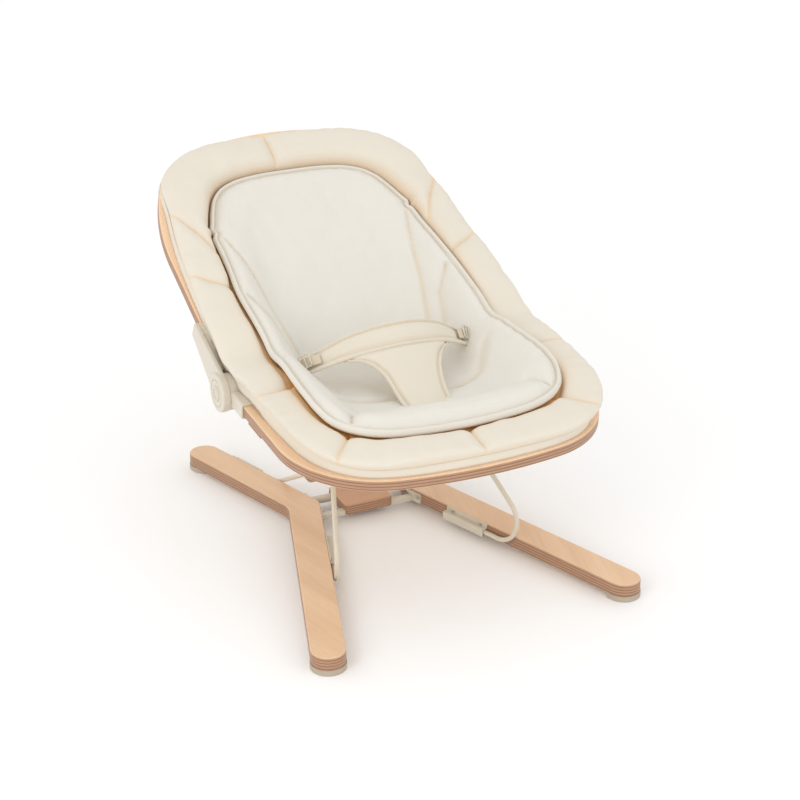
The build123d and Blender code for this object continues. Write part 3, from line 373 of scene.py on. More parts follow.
def plain(name, colour, rough, metal=0.0, cell=900.0, depth=0.00008, strength=0.3, spread=0.05, spec=0.5, coat=0.0):
    """Painted metal or moulded plastic: a fine surface texture and slight unevenness of tone and gloss."""
    m, nt, b = material(name)
    k = Net(nt)
    pos = k.node("ShaderNodeTexCoord").outputs["Object"]
    big = k.noise(pos, 14.0, 3.0, 0.5)
    tiny = k.noise(pos, cell, 2.0, 0.5)
    k.put(b.inputs["Base Color"], k.mix(k.math("MULTIPLY_ADD", k.math("SUBTRACT", big, 0.5), 1.6, 0.5, clamp=True), tuple(c * (1 - spread) for c in colour), tuple(min(1, c * (1 + spread * 0.5)) for c in colour)))
    k.put(b.inputs["Roughness"], k.math("MULTIPLY_ADD", big, 0.14, rough - 0.07))
    b.inputs["Metallic"].default_value = metal
    b.inputs["Specular IOR Level"].default_value = spec
    b.inputs["Coat Weight"].default_value = coat
    b.inputs["Coat Roughness"].default_value = 0.3
    k.put(b.inputs["Normal"], k.bump(tiny, strength, depth))
    return m


def plane_normal(a):
    return (0.0, -math.sin(a), math.cos(a))


HINGE = (0.0, HINGE_Y / 1000, HINGE_Z / 1000)
W_LIGHT, W_DARK = (0.84, 0.585, 0.375), (0.74, 0.485, 0.295)
E_LIGHT, E_DARK = (0.56, 0.335, 0.205), (0.33, 0.170, 0.098)
seat_wood = wood("beech_seat_hoop", plane_normal(SEAT), HINGE, (0, 1, 0.07), (0.90, 0.645, 0.425), (0.83, 0.565, 0.355), E_LIGHT, E_DARK, 7, 0.015)
back_wood = wood("beech_back_hoop", plane_normal(BACK), HINGE, (0, 0.875, 0.485), (0.90, 0.645, 0.425), (0.83, 0.565, 0.355), E_LIGHT, E_DARK, 7, 0.015)
leg_low, leg_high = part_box("right_leg")
leg_mid = (leg_low.z + leg_high.z) / 2
leg_wood = wood("beech_leg", (0, 0, 1), (0, 0, leg_mid), (0.25, 1, 0), W_LIGHT, W_DARK, E_LIGHT, E_DARK, 9, leg_high.z - leg_low.z)
leg_wood_left = wood("beech_leg_left", (0, 0, 1), (0.31, 0.17, leg_mid), (-0.25, 1, 0), W_LIGHT, W_DARK, E_LIGHT, E_DARK, 9, leg_high.z - leg_low.z)
board_low, board_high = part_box("centre_board")
# painted shade: the board's beech is darker than the legs' to stand in for the seat's shadow over it
board_wood_painted_shade = wood("beech_board", (0, 0, 1), (0, 0, (board_low.z + board_high.z) / 2), (1, 0.05, 0), (0.66, 0.36, 0.20), (0.56, 0.29, 0.155), E_LIGHT, E_DARK, 9, board_high.z - board_low.z)
cradle_wood = wood("beech_cradle", plane_normal(SEAT), HINGE, (0, 1, 0), W_LIGHT, W_DARK, E_LIGHT, E_DARK, 9, 0.012)

cream_metal = plain("cream_powder_coat", (0.66, 0.60, 0.49), 0.42, cell=1400, depth=0.00006, strength=0.35, spread=0.04)
wire_metal = plain("cream_powder_coat_wire", (0.70, 0.63, 0.51), 0.38, cell=1600, depth=0.00004, strength=0.3, spread=0.04)
screw_metal = plain("zinc_screw", (0.62, 0.61, 0.58), 0.28, metal=1.0, cell=3000, depth=0.00003, strength=0.25)
hinge_plastic = plain("cream_hinge_plastic", (0.66, 0.605, 0.505), 0.36, cell=2200, depth=0.00003, strength=0.35, spread=0.03)
button_plastic = plain("cream_button_plastic", (0.64, 0.58, 0.48), 0.42, cell=2200, depth=0.00003, strength=0.3, spread=0.03)
lock_plastic = plain("grey_lock_plastic", (0.30, 0.29, 0.27), 0.45, cell=2000, depth=0.00003, strength=0.3)
rubber = plain("beige_rubber", (0.47, 0.40, 0.31), 0.72, cell=1500, depth=0.00010, strength=0.5, spread=0.06, spec=0.3)

COVER = (0.765, 0.705, 0.600)
LINER = (0.765, 0.735, 0.665)
PAD = (0.745, 0.685, 0.575)
cover_cloth = cloth("cream_cotton_cover", COVER, (0.86, 0.50, 0.19), (0.64, 0.52, 0.36), weave=1.0)
liner_cloth = cloth("ivory_jersey_liner", LINER, (0.72, 0.50, 0.27), (0.62, 0.52, 0.38), weave=0.8, sheen=0.16)
pad_cloth = cloth("cream_twill_harness", PAD, (0.62, 0.42, 0.20), (0.60, 0.49, 0.32), weave=1.35, twill=True)
web_cloth = cloth("cream_webbing", (0.70, 0.62, 0.49), (0.5, 0.36, 0.2), (0.55, 0.45, 0.32), weave=2.2, twill=True)

LOOK = {
    "seat_hoop": seat_wood, "back_hoop": back_wood, "right_leg": leg_wood, "left_leg": leg_wood_left,
    "centre_board": board_wood_painted_shade, "seat_cradle": cradle_wood, "rubber_feet": rubber,
    "front_crossbar": cream_metal, "rear_crossbar": cream_metal,
    "right_front_spring_clamp": cream_metal, "left_front_spring_clamp": cream_metal,
    "right_rear_spring_clamp": cream_metal, "left_rear_spring_clamp": cream_metal,
    "wire_saddles": cream_metal,
    "foot_screws": screw_metal, "crossbar_screws": screw_metal, "board_screws": screw_metal,
    "clamp_screws": screw_metal, "cradle_screws": screw_metal, "saddle_screws": screw_metal,
    "seat_hinge_screws": screw_metal, "back_hinge_screws": screw_metal,
    "right_hinge_pin": screw_metal, "left_hinge_pin": screw_metal,
    "right_hinge_lower_housing": hinge_plastic, "left_hinge_lower_housing": hinge_plastic,
    "right_hinge_upper_housing": hinge_plastic, "left_hinge_upper_housing": hinge_plastic,
    "right_hinge_button": button_plastic, "left_hinge_button": button_plastic,
    "right_lock_gear": lock_plastic, "left_lock_gear": lock_plastic,
    "right_button_spring": screw_metal, "left_button_spring": screw_metal,
    "right_strap_adjuster": cream_metal, "left_strap_adjuster": cream_metal,
}
for name, look in LOOK.items():
    if name in nodes:
        me = nodes[name].data
        me.materials.clear()
        me.materials.append(look)

# ---------------------------------------------------------------- liner: outline and top surface
LINER_HALF = [(0, 368), (48, 367), (86, 361), (112, 349), (129, 331), (141, 306), (149, 284), (154.5, 268), (151.5, 261.5), (155.5, 254), (157, 225), (161, 180), (165.5, 130),
              (166, 70), (166.5, 10), (169, -60), (173, -110), (175, -150), (172, -188), (161, -216), (140, -238), (108, -252), (60, -260), (0, -263)]
liner_loop = loop(LINER_HALF, 860)
# height of the liner's piped edge above the hoops' planes
LINER_EDGE = [(-263, 42), (-235, 48), (-210, 52), (-180, 59), (-140, 63), (-60, 62), (20, 60), (60, 53), (100, 45), (140, 37), (180, 31), (220, 23), (260, 16), (320, 12), (368, 10)]
LINER_MID = [(-263, 38), (-235, 40), (-200, 30), (-150, 16), (-105, 8), (-70, 4), (-30, 0), (20, -7), (80, -9), (150, -5), (220, 1), (300, 8), (368, 12)]
# width of the sloping side between the edge and the flat middle
LINER_SLOPE = [(-263, 85), (-200, 84), (-100, 84), (0, 84), (100, 80), (200, 72), (300, 60), (368, 50)]


def liner_surface(x, v, a):
    """The liner's top before its puffs. a is the distance in from its outline."""
    edge, mid, slope = curve(LINER_EDGE, v), curve(LINER_MID, v), curve(LINER_SLOPE, v)
    t = np.clip(a / slope, 0, 1)
    fall = 1 - ss(0, 1, t)
    return mid + (edge - mid) * fall


OUTWARD = {}


def plan_rings(outline, steps, lo, hi, extra=0.0):
    """Rings from the outline (t = 0) to the spine (t = 1), packed close to the outline. steps are distances for the
    first rings (mm), then shares of what is left."""
    spine = np.stack([np.zeros(len(outline)), lo + (hi - lo) * ss(-0.15, 1.15, (outline[:, 1] - outline[:, 1].min()) / np.ptp(outline[:, 1]))], -1)
    nxt, prv = np.roll(outline, -1, 0), np.roll(outline, 1, 0)
    tan = nxt - prv
    nrm = np.stack([tan[:, 1], -tan[:, 0]], -1)
    # the way in is that of the outline with its small kinks smoothed out, so that no rings cross
    wide = len(outline) // 36
    nrm = sum(np.roll(nrm, k, 0) for k in range(-wide, wide + 1))
    nrm /= np.linalg.norm(nrm, axis=1, keepdims=True)
    if ((spine - outline) * nrm).sum(1).mean() < 0:
        nrm = -nrm
    near, share = steps
    rings = []
    for a in near:
        rings.append(outline + nrm * a)
    OUTWARD[id(outline)] = -nrm
    last = rings[-1]
    for s in share:
        rings.append(last + (spine - last) * s)
    return rings


def gather(phi, seed):
    """Small tucks along a gathered edge; phi is the distance round it in mm."""
    r = np.random.RandomState(seed)
    out = np.zeros_like(phi)
    for _ in range(9):
        out = out + np.sin(math.tau * phi / r.uniform(9, 38) + r.uniform(0, math.tau)) * r.uniform(0.3, 1)
    return out / 3.0


def round_phi(outline, rings):
    step = np.linalg.norm(np.roll(outline, -1, 0) - outline, axis=1).sum() / len(outline)
    return np.tile(np.arange(len(outline)) * step, rings)


def top_heights(kind, p, a, phi):
    """Height of the cover's or liner's top at plan points p, with a the distance in from its outline."""
    x, v = p[:, 0], p[:, 1]
    if kind == "liner":
        n = liner_surface(x, v, a)
        # piped edge, stitched line, then a filled puff
        n = n + curve([(0, -6), (1.2, -1.8), (3.2, 0.6), (5.4, -0.6), (7.2, -4.2), (9.0, -2.6), (13, 2.6), (24, 7.4), (42, 7.4), (66, 3.5), (100, 1.0), (140, 0)], a)
        n = n + gather(phi, 3) * 0.55 * ss(6.5, 10, a) * (1 - ss(14, 34, a))
        side = np.abs(x)
        # long side seams of the back panel
        d = to_lines(np.stack([side, v], -1), LINER_SEAMS)
        live = ss(9, 22, a)
        n = n - 4.2 * np.exp(-(d / 3.2) ** 2) * live - 4.0 * np.exp(-(d / 15) ** 2) * live
        d2 = to_lines(np.stack([side, v], -1), LINER_PUFF_SEAMS)
        n = n - 4.5 * np.exp(-(d2 / 3.0) ** 2) * ss(9, 16, a) - 6.5 * np.exp(-(d2 / 12) ** 2) * ss(6, 20, a)
        # crease where the seat's bolster meets the seat
        n = n - 5.0 * np.exp(-(to_lines(np.stack([side, v], -1), LINER_CREASE) / 7) ** 2)
        n = n + 1.5 * wobble(x, v, 5, 95) * ss(12, 40, a) + 0.55 * wobble(x, v, 6, 34) * ss(10, 30, a)
        # pinched tucks by the stitched edge
        return n
    raise ValueError(kind)


LINER_SEAMS = [((141, 250), (131, 215)), ((131, 215), (124, 180)), ((124, 180), (112, 110)), ((112, 110), (99, 40)), ((99, 40), (97, 10))]
LINER_PUFF_SEAMS = [((126, -190), (146, -236)), ((150, 128), (126, 88)), ((126, 88), (116, 40))]
LINER_CREASE = [((0, -118), (60, -112)), ((60, -112), (105, -95)), ((105, -95), (130, -60))]


def skin(name, rings_top, n_top, rings_bot, n_bot, push=None):
    """A closed skin: top rings and bottom rings share the outline's ends, and each centre is closed by a strip."""
    count = len(rings_top[0])
    plan = np.concatenate([np.concatenate(rings_top), np.concatenate(rings_bot)])
    n = np.concatenate([n_top, n_bot])
    at = plan if push is None else plan + push
    co = place(at[:, 0], at[:, 1], n)
    faces = []

    def grid(base, rows, flip):
        for j in range(rows - 1):
            for i in range(count):
                a, b = base + j * count + i, base + j * count + (i + 1) % count
                c, d = b + count, a + count
                faces.append((a, b, c, d) if not flip else (d, c, b, a))

    rt, rb = len(rings_top), len(rings_bot)
    grid(0, rt, True)
    grid(rt * count, rb, False)
    # the edge
    for i in range(count):
        a, b = i, (i + 1) % count
        c, d = rt * count + (i + 1) % count, rt * count + i
        faces.append((a, b, c, d))
    # close the centre of each side: the last ring lies on the spine, so opposite points are joined
    for base, flip in ((rt * count - count, True), ((rt + rb) * count - count, False)):
        half = count // 2
        for i in range(half):
            a, b = base + i, base + i + 1
            c, d = base + (count - i - 1) % count, base + (count - i) % count
            quad = [a, b, c, d]
            seen = []
            for q in quad:
                if q not in seen:
                    seen.append(q)
            if len(seen) >= 3:
                faces.append(tuple(seen if flip is False else seen[::-1]))
    uv = np.stack([plan[:, 0], plan[:, 1]], -1) / 1000
    return co, faces, uv


def merge(ob, dist=0.00002):
    import bmesh
    bm = bmesh.new()
    bm.from_mesh(ob.data)
    bmesh.ops.remove_doubles(bm, verts=bm.verts, dist=dist)
    bmesh.ops.recalc_face_normals(bm, faces=bm.faces)
    bm.to_mesh(ob.data)
    bm.free()
    ob.data.shade_smooth()


def tube(name, path, radius, sides=10, closed=True, squash=1.0, up=None, twist=0.0):
    """A round cord along a path (metres), as a mesh with a cloth UV along it."""
    p = np.asarray(path, float)
    k = len(p)
    nxt = np.roll(p, -1, 0) if closed else np.vstack([p[1:], p[-1:] * 2 - p[-2:-1]])
    prv = np.roll(p, 1, 0) if closed else np.vstack([p[:1] * 2 - p[1:2], p[:-1]])
    t = nxt - prv
    t /= np.linalg.norm(t, axis=1, keepdims=True)
    ref = np.array(up if up is not None else (0, 0, 1), float)
    b = np.cross(t, ref)
    b /= np.maximum(np.linalg.norm(b, axis=1, keepdims=True), 1e-9)
    c = np.cross(b, t)
    length = np.concatenate([[0], np.cumsum(np.linalg.norm(np.diff(p, axis=0), axis=1))])
    verts, uv = [], []
    for j in range(sides):
        an = math.tau * j / sides
        r = np.asarray(radius)
        r = r[:, None] if r.ndim else r
        verts.append(p + r * (math.cos(an) * b + squash * math.sin(an) * c))
        uv.append(np.stack([np.full(k, j * 0.002), length], -1))
    verts, uv = np.concatenate(verts), np.concatenate(uv)
    faces = []
    for j in range(sides):
        j2 = (j + 1) % sides
        for i in range(k if closed else k - 1):
            i2 = (i + 1) % k
            faces.append((j * k + i, j * k + i2, j2 * k + i2, j2 * k + i))
    if not closed:
        faces.append(tuple(j * k for j in range(sides)))
        faces.append(tuple(j * k + k - 1 for j in range(sides))[::-1])
    return new_mesh(name, verts, faces, uv)


# ---------------------------------------------------------------- the liner
L_NEAR = [0, 0.8, 1.8, 3.0, 4.4, 5.6, 6.6, 7.4, 8.4, 9.8, 11.6, 13.6, 15.8, 18.2, 20.8, 23.5, 26.3, 29.2, 32.2, 35.3, 38.5]
L_SHARE = [k / 64 for k in range(1, 65)]
lt = plan_rings(liner_loop, (L_NEAR, L_SHARE), -120, 250)
lb = plan_rings(liner_loop, ([1.2, 4, 8, 14, 24, 38.5], [0.1, 0.2, 0.3, 0.4, 0.5, 0.6, 0.7, 0.8, 0.9, 1.0]), -120, 250)
ltp, lbp = np.concatenate(lt), np.concatenate(lb)
la, lba = np.maximum(to_loop(ltp, liner_loop), 0), np.maximum(to_loop(lbp, liner_loop), 0)
ln = top_heights("liner", ltp, la, round_phi(liner_loop, len(lt)))
ln_under = liner_surface(lbp[:, 0], lbp[:, 1], lba) - curve([(0, 8), (3, 11), (10, 14), (24, 17), (60, 18)], lba)
co, faces, uv = skin("seat_cushion_liner", lt, ln, lb, ln_under)
seam_l = np.zeros(len(co))
liner_painted_shade = np.zeros(len(co))
side = np.stack([np.abs(ltp[:, 0]), ltp[:, 1]], -1)
k_top = len(ltp)
d_in = to_lines(side, LINER_SEAMS)
d_pf = to_lines(side, LINER_PUFF_SEAMS)
seam_l[:k_top] = 0.34 * np.exp(-((la - 7.1) / 0.8) ** 2)
# painted shade: the seam grooves, the bolster crease and the ring inside the piping are tinted warm, and the whole
# underside is painted in shade
liner_painted_shade[:k_top] = np.clip(0.42 * np.exp(-(d_in / 1.8) ** 2) * ss(10, 14, la) + 0.34 * np.exp(-(d_pf / 2.0) ** 2) * ss(10, 14, la) + 0.22 * np.exp(-(to_lines(side, LINER_CREASE) / 4.5) ** 2) + 0.15 * np.exp(-((la - 7.4) / 2.0) ** 2), 0, 1)
liner_painted_shade[k_top:] = 0.55
liner = new_mesh("seat_cushion_liner", co, faces, uv, (("seam", seam_l), ("painted_crease_shade", liner_painted_shade)))
merge(liner)
liner.data.materials.append(liner_cloth)

# ---------------------------------------------------------------- the padded cover
COVER_HALF = [(0, 443), (45, 442.5), (83, 439.5), (112, 434.5), (139, 426), (163, 413), (182, 395), (194, 375), (200.5, 355), (203.5, 336), (206.5, 308), (212, 270), (216, 230),
              (217.5, 180), (217.5, 120), (217.5, 60), (217, 20), (214, -20), (211, -60), (210, -110), (208, -160), (204, -205), (194, -240), (176, -269), (149, -291),
              (112, -304), (60, -311), (0, -313.5)]
cover_loop = loop(COVER_HALF, 1000)
CREST = [(-314, 36), (-262, 40), (-210, 45), (-140, 50), (0, 50), (60, 48), (140, 42), (200, 37), (260, 33), (330, 30), (390, 24), (446, 20)]
COVER_EDGE = [(-314, 11), (-120, 11), (-78, 15.5), (-45, 16), (-25, 20), (-12, 28), (0, 31), (12, 28), (25, 20), (45, 16), (70, 15.5), (100, 11.5), (325, 11.5), (350, 6), (375, -1), (400, -4), (448, -4)]
COVER_SEAMS = [
    ((213, 316), (196, 295)), ((196, 295), (178, 262)), ((178, 262), (164, 222)),
    ((222, 186), (196, 170)), ((196, 170), (172, 152)), ((172, 152), (158, 144)),
    ((214, -116), (184, -104)), ((184, -104), (158, -84)),
    ((186, -292), (158, -250)), ((158, -250), (136, -205)),
]


def cover_top(p, a, phi=None):
    x, v = p[:, 0], p[:, 1]
    inner = to_loop(p, liner_loop)
    outside = np.maximum(-inner, 0)
    u = a / np.maximum(a + outside, 1e-6)
    u = np.where(inner > 0, 1.0, u)
    crest, e = curve(CREST, v), curve(COVER_EDGE, v)
    low = curve(LINER_EDGE, v) - 17.0
    rise = curve([(0, 0.0), (0.06, 0.28), (0.13, 0.56), (0.22, 0.80), (0.34, 0.95), (0.5, 1.0), (1.0, 1.0)], u)
    drop = curve([(0, 0.0), (0.66, 0.0), (0.82, 0.08), (0.92, 0.34), (1.0, 1.0)], u)
    n = e + (crest - e) * rise + (low - crest) * drop
    # piping flange and stitched line at the border
    n = n + curve([(0, -4.0), (1.0, 0.0), (2.6, 1.8), (4.4, 0.4), (5.8, -3.4), (7.2, -3.8), (9.5, -1.2), (14, 0), (30, 0)], a)
    # radial seams with puffs between them
    sd = np.stack([np.abs(x), v], -1)
    d = to_lines(sd, COVER_SEAMS)
    d = np.minimum(d, to_lines(p, [((-14, 440), (-17, 352))]))
    d = np.minimum(d, to_lines(p, [((-2, -322), (2, -255))]))
    live = ss(6, 12, a)
    deep = live * (0.3 + 0.7 * ss(9, 34, a))
    n = n - 3.0 * np.exp(-(d / 2.2) ** 2) * deep - 5.0 * np.exp(-(d / 9) ** 2) * deep + 1.2 * (1 - np.exp(-(d / 40) ** 2)) * deep
    if phi is not None:
        n = n + gather(phi, 8) * 0.6 * ss(6.5, 9.5, a) * (1 - ss(12, 36, a))
    # slight unevenness of the filling, and pulls that run across the border
    n = n + 1.7 * wobble(x, v, 11, 120) * live + 0.7 * wobble(x, v, 12, 42) * live
    # under the liner the cover follows the liner's underside
    under = liner_surface(x, v, np.maximum(inner, 0)) - curve([(0, 17), (10, 19), (24, 21.5), (60, 22.5)], np.maximum(inner, 0))
    w = ss(-1, 7, inner)
    n = (1 - w) * n + w * np.minimum(n, under)
    return n, u, d, inner


def cover_under(p, a, n_top_fn):
    x, v = p[:, 0], p[:, 1]
    t, _, _, _ = cover_top(p, a)
    e = curve(COVER_EDGE, v)
    seat_on = e - 3.4
    free = t - 13.0
    w = ss(38, 60, a)
    # at the head the edge folds over the outside of the hoop
    seat_on = np.where(v > 340, np.where(a < 9, seat_on - 6 * ss(345, 400, v), np.maximum(seat_on, 8.3)), seat_on)
    return (1 - w) * np.minimum(seat_on, t - 3) + w * np.minimum(seat_on, free)


def bulge(p, u, a, rows):
    """How far the filled border stands out past its own edge, as it rises from the hoop."""
    out = np.tile(OUTWARD[id(cover_loop)], (rows, 1))
    v = p[:, 1]
    reach = curve([(-314, 12), (-290, 20), (-250, 25), (-190, 25), (-60, 24), (0, 22), (60, 20), (110, 17), (176, 11), (240, 7), (300, 6), (350, 8), (448, 7)], v)
    return out * (reach * ss(0, 12.5, a) * (1 - ss(0.34, 0.97, u)))[:, None]


C_NEAR = [0, 0.7, 1.6, 2.6, 3.6, 4.6, 5.6, 6.6, 7.7, 9, 10.5, 12.2, 14, 16, 18, 20, 22, 24, 26, 28, 30, 32, 34, 36, 38, 40, 42, 44, 46, 48, 49.5]
C_SHARE = [k / 90 for k in range(1, 26)] + [0.30, 0.34, 0.39, 0.45, 0.52, 0.60, 0.69, 0.79, 0.89, 1.0]
ct = plan_rings(cover_loop, (C_NEAR, C_SHARE), -150, 300)
cb = plan_rings(cover_loop, ([2.0, 5, 8, 9.5, 14, 20, 28, 36, 40, 44, 49.5], [0.03, 0.06, 0.1, 0.15, 0.2, 0.27, 0.35, 0.45, 0.55, 0.7, 0.85, 1.0]), -150, 300)
ctp, cbp = np.concatenate(ct), np.concatenate(cb)
ca, cba = np.maximum(to_loop(ctp, cover_loop), 0), np.maximum(to_loop(cbp, cover_loop), 0)
cn, cu, cd, cin = cover_top(ctp, ca, round_phi(cover_loop, len(ct)))
cn_b = cover_under(cbp, cba, None)
co, faces, uv = skin("padded_seat_cover", ct, cn, cb, cn_b, np.concatenate([bulge(ctp, cu, ca, len(ct)), np.zeros_like(cbp)]))
k_top = len(ctp)
seam_c, cover_painted_shade = np.zeros(len(co)), np.zeros(len(co))
seam_c[:k_top] = 0.32 * np.exp(-((ca - 6.4) / 0.9) ** 2)
# painted shade: the seam grooves, the ring inside the piping, the trench beside the liner and the cover under the liner
# are tinted towards the warm shade colour
liner_trench_shade = np.exp(-(np.clip(-cin, 0, 60) / 4.5) ** 1.4)
cover_painted_shade[:k_top] = np.clip(0.48 * np.exp(-(cd / 1.6) ** 2) * ss(6, 10, ca) + 0.16 * np.exp(-((ca - 6.6) / 2.2) ** 2) + 0.62 * liner_trench_shade + 0.8 * ss(0, 10, cin), 0, 1)
cover = new_mesh("padded_seat_cover", co, faces, uv, (("seam", seam_c), ("painted_crease_shade", cover_painted_shade)))
merge(cover)
cover.data.materials.append(cover_cloth)

# ---------------------------------------------------------------- harness
def pad_place(x, q, h):
    """The harness pad's own sheet: q runs up the stem from where it leaves the liner, h is out of the sheet."""
    qq = np.clip(q, -20, 130)
    v = -150 + qq * 0.86 + 0.0042 * x ** 2 * ss(45, 100, q)
    n = 15 + 74 * ss(-10, 150, qq) - 0.0021 * x ** 2 * ss(40, 100, q) - 0.0010 * x ** 2
    return place(x, v - 0.45 * h, n + 0.9 * h)


def padded_strip(name, cols, rows, spot, crown, piped=True, painted_crease_shade=0.0, extra=None, tuck=None):
    """A sewn, padded strip: spot(s, t) gives its plan point for s along and t across (-1 to 1), with a piped edge."""
    s = np.linspace(0, 1, cols)
    half = np.concatenate([[0, 0.8, 1.8, 2.8, 3.8, 4.8, 5.8, 7.2, 9], np.linspace(11, 30, 7)]) / 30.0 if piped else np.linspace(0, 1, 12)
    t = np.concatenate([-1 + half * 0.9, np.linspace(-0.09, 0.09, 5), (1 - half * 0.9)[::-1]])
    S, T = np.meshgrid(s, t, indexing="ij")
    X, Q, W = spot(S, T)
    edge_s = np.minimum(S, 1 - S) * extra if extra else 1e3 * np.ones_like(S)
    dist = np.minimum((1 - np.abs(T)) * W, edge_s)
    h = curve([(0, 0.8), (0.8, 3.4), (2.2, 4.6), (3.6, 3.8), (4.8, 1.4), (6.0, 1.5), (8.5, 3.6), (14, crown * 0.8), (26, crown)], dist)
    h = h + 0.35 * wobble(X, Q, 31, 36) * ss(6, 12, dist)
    hb = -curve([(0, 0.8), (2, 2.2), (8, 3), (30, 3.5)], dist)
    if tuck:
        h, hb = h - 7.5 * ss(tuck[0], tuck[1], Q), hb - 4.0 * ss(tuck[0], tuck[1], Q)
    top, bot = pad_place(X, Q, h), pad_place(X, Q, hb)
    a, b = S.shape
    co = np.concatenate([top.reshape(-1, 3), bot.reshape(-1, 3)])
    plan = np.stack([X, Q], -1).reshape(-1, 2)
    faces = []
    for i in range(a - 1):
        for j in range(b - 1):
            k0 = i * b + j
            faces.append((k0, k0 + 1, k0 + b + 1, k0 + b))
            k1 = a * b + k0
            faces.append((k1 + b, k1 + b + 1, k1 + 1, k1))
    ring = [i * b for i in range(a)] + [(a - 1) * b + j for j in range(1, b)] + [i * b + b - 1 for i in range(a - 2, -1, -1)] + [j for j in range(b - 2, 0, -1)]
    for i in range(len(ring)):
        p, q = ring[i], ring[(i + 1) % len(ring)]
        faces.append((p, q, q + a * b, p + a * b))
    d = dist.ravel()
    # painted shade in the groove inside the piping and over the whole underside
    f = np.concatenate([0.30 * np.exp(-((d - 5.2) / 1.2) ** 2) + painted_crease_shade, np.full(a * b, 0.4)])
    sm = np.concatenate([0.45 * np.exp(-((d - 7.4) / 0.7) ** 2), np.zeros(a * b)])
    ob = new_mesh(name, co, faces, np.concatenate([plan, plan]) / 1000, (("seam", sm), ("painted_crease_shade", np.clip(f, 0, 1))))
    merge(ob)
    ob.data.materials.append(pad_cloth)
    return ob


def band_spot(S, T):
    x = -124 + 248 * S
    w = curve([(0, 19.5), (60, 19), (96, 15.5), (112, 11.5), (120, 7.5), (124, 3.0)], np.abs(x))
    mid = curve([(0, 104), (60, 103), (100, 98), (124, 92)], np.abs(x))
    return x, mid + w * T, w


def stem_spot(S, T):
    q = -17 + 113 * S
    w = curve([(-17, 33), (0, 34), (30, 37), (50, 41), (64, 48), (74, 57), (81, 70), (88, 82), (96, 90)], q)
    lift = curve([(-17, 0), (60, 0), (96, 6)], q) * (np.abs(T) ** 2)
    return w * T, q - lift * 0, w


band = padded_strip("harness_waist_pad", 150, 0, band_spot, 7.5)
pad = padded_strip("harness_crotch_pad", 110, 0, stem_spot, 6.0, tuck=(78, 90))

# ---------------------------------------------------------------- spring wires: copies of the model's wires in the cream wire finish
def copy_node(node, name):
    src = nodes[node]
    ob = bpy.data.objects.new(name, src.data.copy())
    scene.collection.objects.link(ob)
    ob.data.materials.clear()
    return ob


for s in ("right", "left"):
    wire = copy_node(f"{s}_spring_wire", f"{s}_bent_spring_wire")
    wire.data.materials.append(wire_metal)
    wire.data.shade_smooth()
    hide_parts(f"{s}_spring_wire")
    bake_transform(wire)

# the buttons' return springs: copies of the model's coils in zinc
for s in ("right", "left"):
    coil = copy_node(f"{s}_button_spring", f"{s}_shortening_button_spring")
    coil.data.materials.append(screw_metal)
    coil.data.shade_smooth()
    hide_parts(f"{s}_button_spring")
    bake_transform(coil)

# ---------------------------------------------------------------- the cloth parts in place of the model's, with the harness riding on the seat
for ob, slot_name, cad in ((cover, "cover_cotton", ("seat_cover", "back_cover")), (liner, "liner_cotton", ("seat_liner", "back_liner"))):
    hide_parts(*cad)
    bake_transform(ob)
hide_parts("crotch_pad")
for ob in (pad, band):
    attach(ob, "seat")


def strap(s):
    """Webbing from the pad's end down through the liner."""
    sx = 1 if s == "right" else -1
    rows = []
    path = [(102, -32, 45), (110, -27, 42), (117, -22, 38), (124, -17, 32), (130, -13, 24), (134, -10, 14)]
    count = 40
    us = np.linspace(0, 1, count)
    pts = np.stack([curve([(i / 5, p[j]) for i, p in enumerate(path)], us) for j in range(3)], -1)
    half, th = 8.0, 0.9
    prof = [(-half, -th), (-half + 1, -th - .15), (0, -th), (half - 1, -th - .15), (half, -th), (half, th), (half - 1, th + .15), (0, th), (-half + 1, th + .15), (-half, th)]
    verts, uv2 = [], []
    length = np.concatenate([[0], np.cumsum(np.linalg.norm(np.diff(pts, axis=0), axis=1))])
    for (w, t) in prof:
        verts.append(place(sx * pts[:, 0], pts[:, 1] + w * 0.8, pts[:, 2] + w * 0.6 + t))
        uv2.append(np.stack([np.full(count, w), length], -1) / 1000)
    k = len(prof)
    verts, uv2 = np.concatenate(verts), np.concatenate(uv2)
    faces = [(j * count + i, j * count + i + 1, ((j + 1) % k) * count + i + 1, ((j + 1) % k) * count + i) for j in range(k) for i in range(count - 1)]
    faces.append(tuple(j * count for j in range(k))[::-1])
    faces.append(tuple(j * count + count - 1 for j in range(k)))
    # painted shade: a constant warm shade tint over the whole webbing
    ob = new_mesh(f"{s}_harness_webbing", verts, faces, uv2, (("seam", np.zeros(len(verts))), ("painted_crease_shade", np.full(len(verts), 0.12))))
    merge(ob)
    ob.data.materials.append(web_cloth)
    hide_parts(f"{s}_waist_webbing")
    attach(ob, "seat")
    return ob


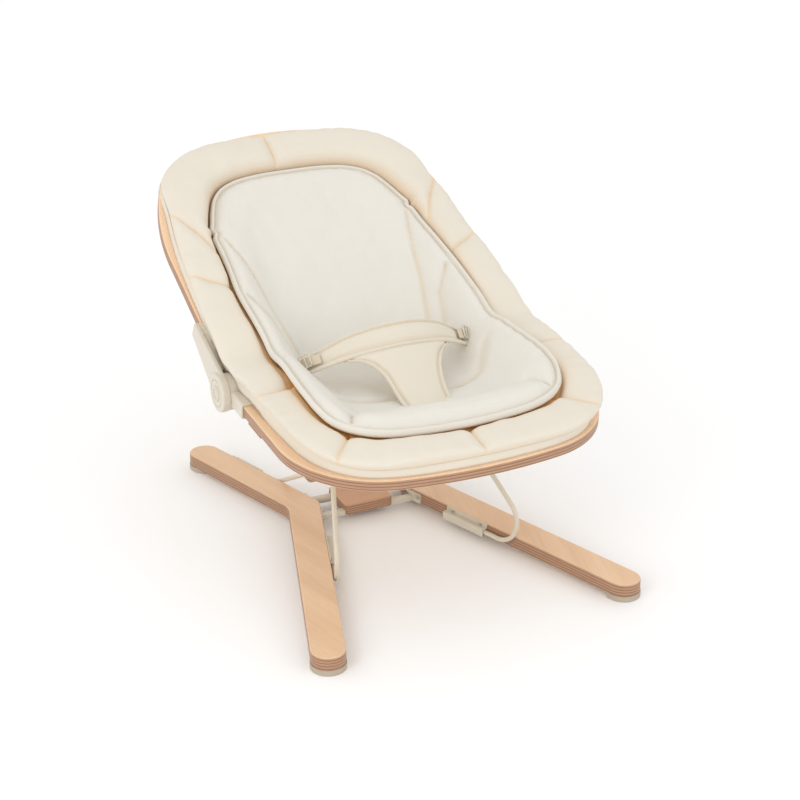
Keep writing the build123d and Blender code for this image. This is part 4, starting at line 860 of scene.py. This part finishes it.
def slider(s):
    """Two-slot slider on the webbing: a frame of round bars with a middle bar."""
    sx = 1 if s == "right" else -1
    bars = [((-11, -7.5), (11, -7.5)), ((-11, 7.5), (11, 7.5)), ((-11, -7.5), (-11, 7.5)), ((11, -7.5), (11, 7.5)), ((-11, 0), (11, 0))]
    spot = np.array([119.5, -20.5, 38.5])
    along = np.array([0.72, 0.38, -0.58])
    across = np.array([0.05, 0.80, 0.60])
    verts, faces = [], []
    for p, q in bars:
        t = np.linspace(0, 1, 9)
        line = np.array(p)[None, :] * (1 - t[:, None]) + np.array(q)[None, :] * t[:, None]
        pts = spot + line[:, :1] * across + line[:, 1:] * along
        world = place(sx * pts[:, 0], pts[:, 1], pts[:, 2] + 1.6)
        d = world[-1] - world[0]
        d = d / np.linalg.norm(d)
        b1 = np.cross(d, (0, 0, 1.0))
        b1 /= np.linalg.norm(b1)
        b2 = np.cross(b1, d)
        base = len(verts)
        sides = 10
        for w in world:
            for k2 in range(sides):
                an = math.tau * k2 / sides
                verts.append(w + 0.0013 * (math.cos(an) * b1 + math.sin(an) * b2))
        for i in range(len(world) - 1):
            for k2 in range(sides):
                a0 = base + i * sides + k2
                a1 = base + i * sides + (k2 + 1) % sides
                faces.append((a0, a1, a1 + sides, a0 + sides))
        faces.append(tuple(base + k2 for k2 in range(sides))[::-1])
        faces.append(tuple(base + (len(world) - 1) * sides + k2 for k2 in range(sides)))
    ob = new_mesh(f"{s}_strap_slider", verts, faces)
    ob.data.materials.append(cream_metal)
    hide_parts(f"{s}_strap_adjuster")
    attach(ob, "seat")
    return ob


for s in ("right", "left"):
    strap(s)
    slider(s)

# ---------------------------------------------------------------- floor, light, camera
floor_mat, nt, b = material("pale_floor")
k = Net(nt)
pos = k.node("ShaderNodeTexCoord").outputs["Object"]
k.put(b.inputs["Base Color"], k.mix(k.noise(pos, 2.0, 2.0, 0.5), (0.965, 0.965, 0.965), (0.98, 0.98, 0.98)))
b.inputs["Roughness"].default_value = 0.9
b.inputs["Specular IOR Level"].default_value = 0.1
bpy.ops.mesh.primitive_plane_add(size=60, location=(0, 0, 0))
floor = bpy.context.object
floor.name = "studio_floor"
floor.data.materials.append(floor_mat)

world = bpy.data.worlds.new("studio")
scene.world = world
world.use_nodes = True
bg = world.node_tree.nodes["Background"]
bg.inputs["Color"].default_value = (1.0, 1.0, 1.0, 1)
bg.inputs["Strength"].default_value = 1.02


def area(name, at, to, size, power, colour=(1, 1, 1)):
    data = bpy.data.lights.new(name, "AREA")
    data.shape = "RECTANGLE"
    data.size, data.size_y = size
    data.energy = power
    data.color = colour
    ob = bpy.data.objects.new(name, data)
    ob.location = at
    ob.rotation_euler = (Vector(to) - Vector(at)).to_track_quat("-Z", "Y").to_euler()
    scene.collection.objects.link(ob)
    return ob


area("key", (-2.7, -1.7, 1.7), (0, 0, 0.25), (1.4, 1.4), 20, (1.0, 0.985, 0.96))
area("fill", (1.2, -2.9, 1.3), (0, 0, 0.25), (1.6, 1.2), 7)

cam_data = bpy.data.cameras.new("camera")
cam = bpy.data.objects.new("camera", cam_data)
scene.collection.objects.link(cam)
cam.location = (-1.0281, -2.2831, 1.3090)
back = Vector((-0.3889, -0.8250, 0.4101))
cam.rotation_euler = (-back).to_track_quat("-Z", "Y").to_euler()
cam_data.lens = 88.60
cam_data.sensor_width = 36
cam_data.clip_end = 100
scene.camera = cam
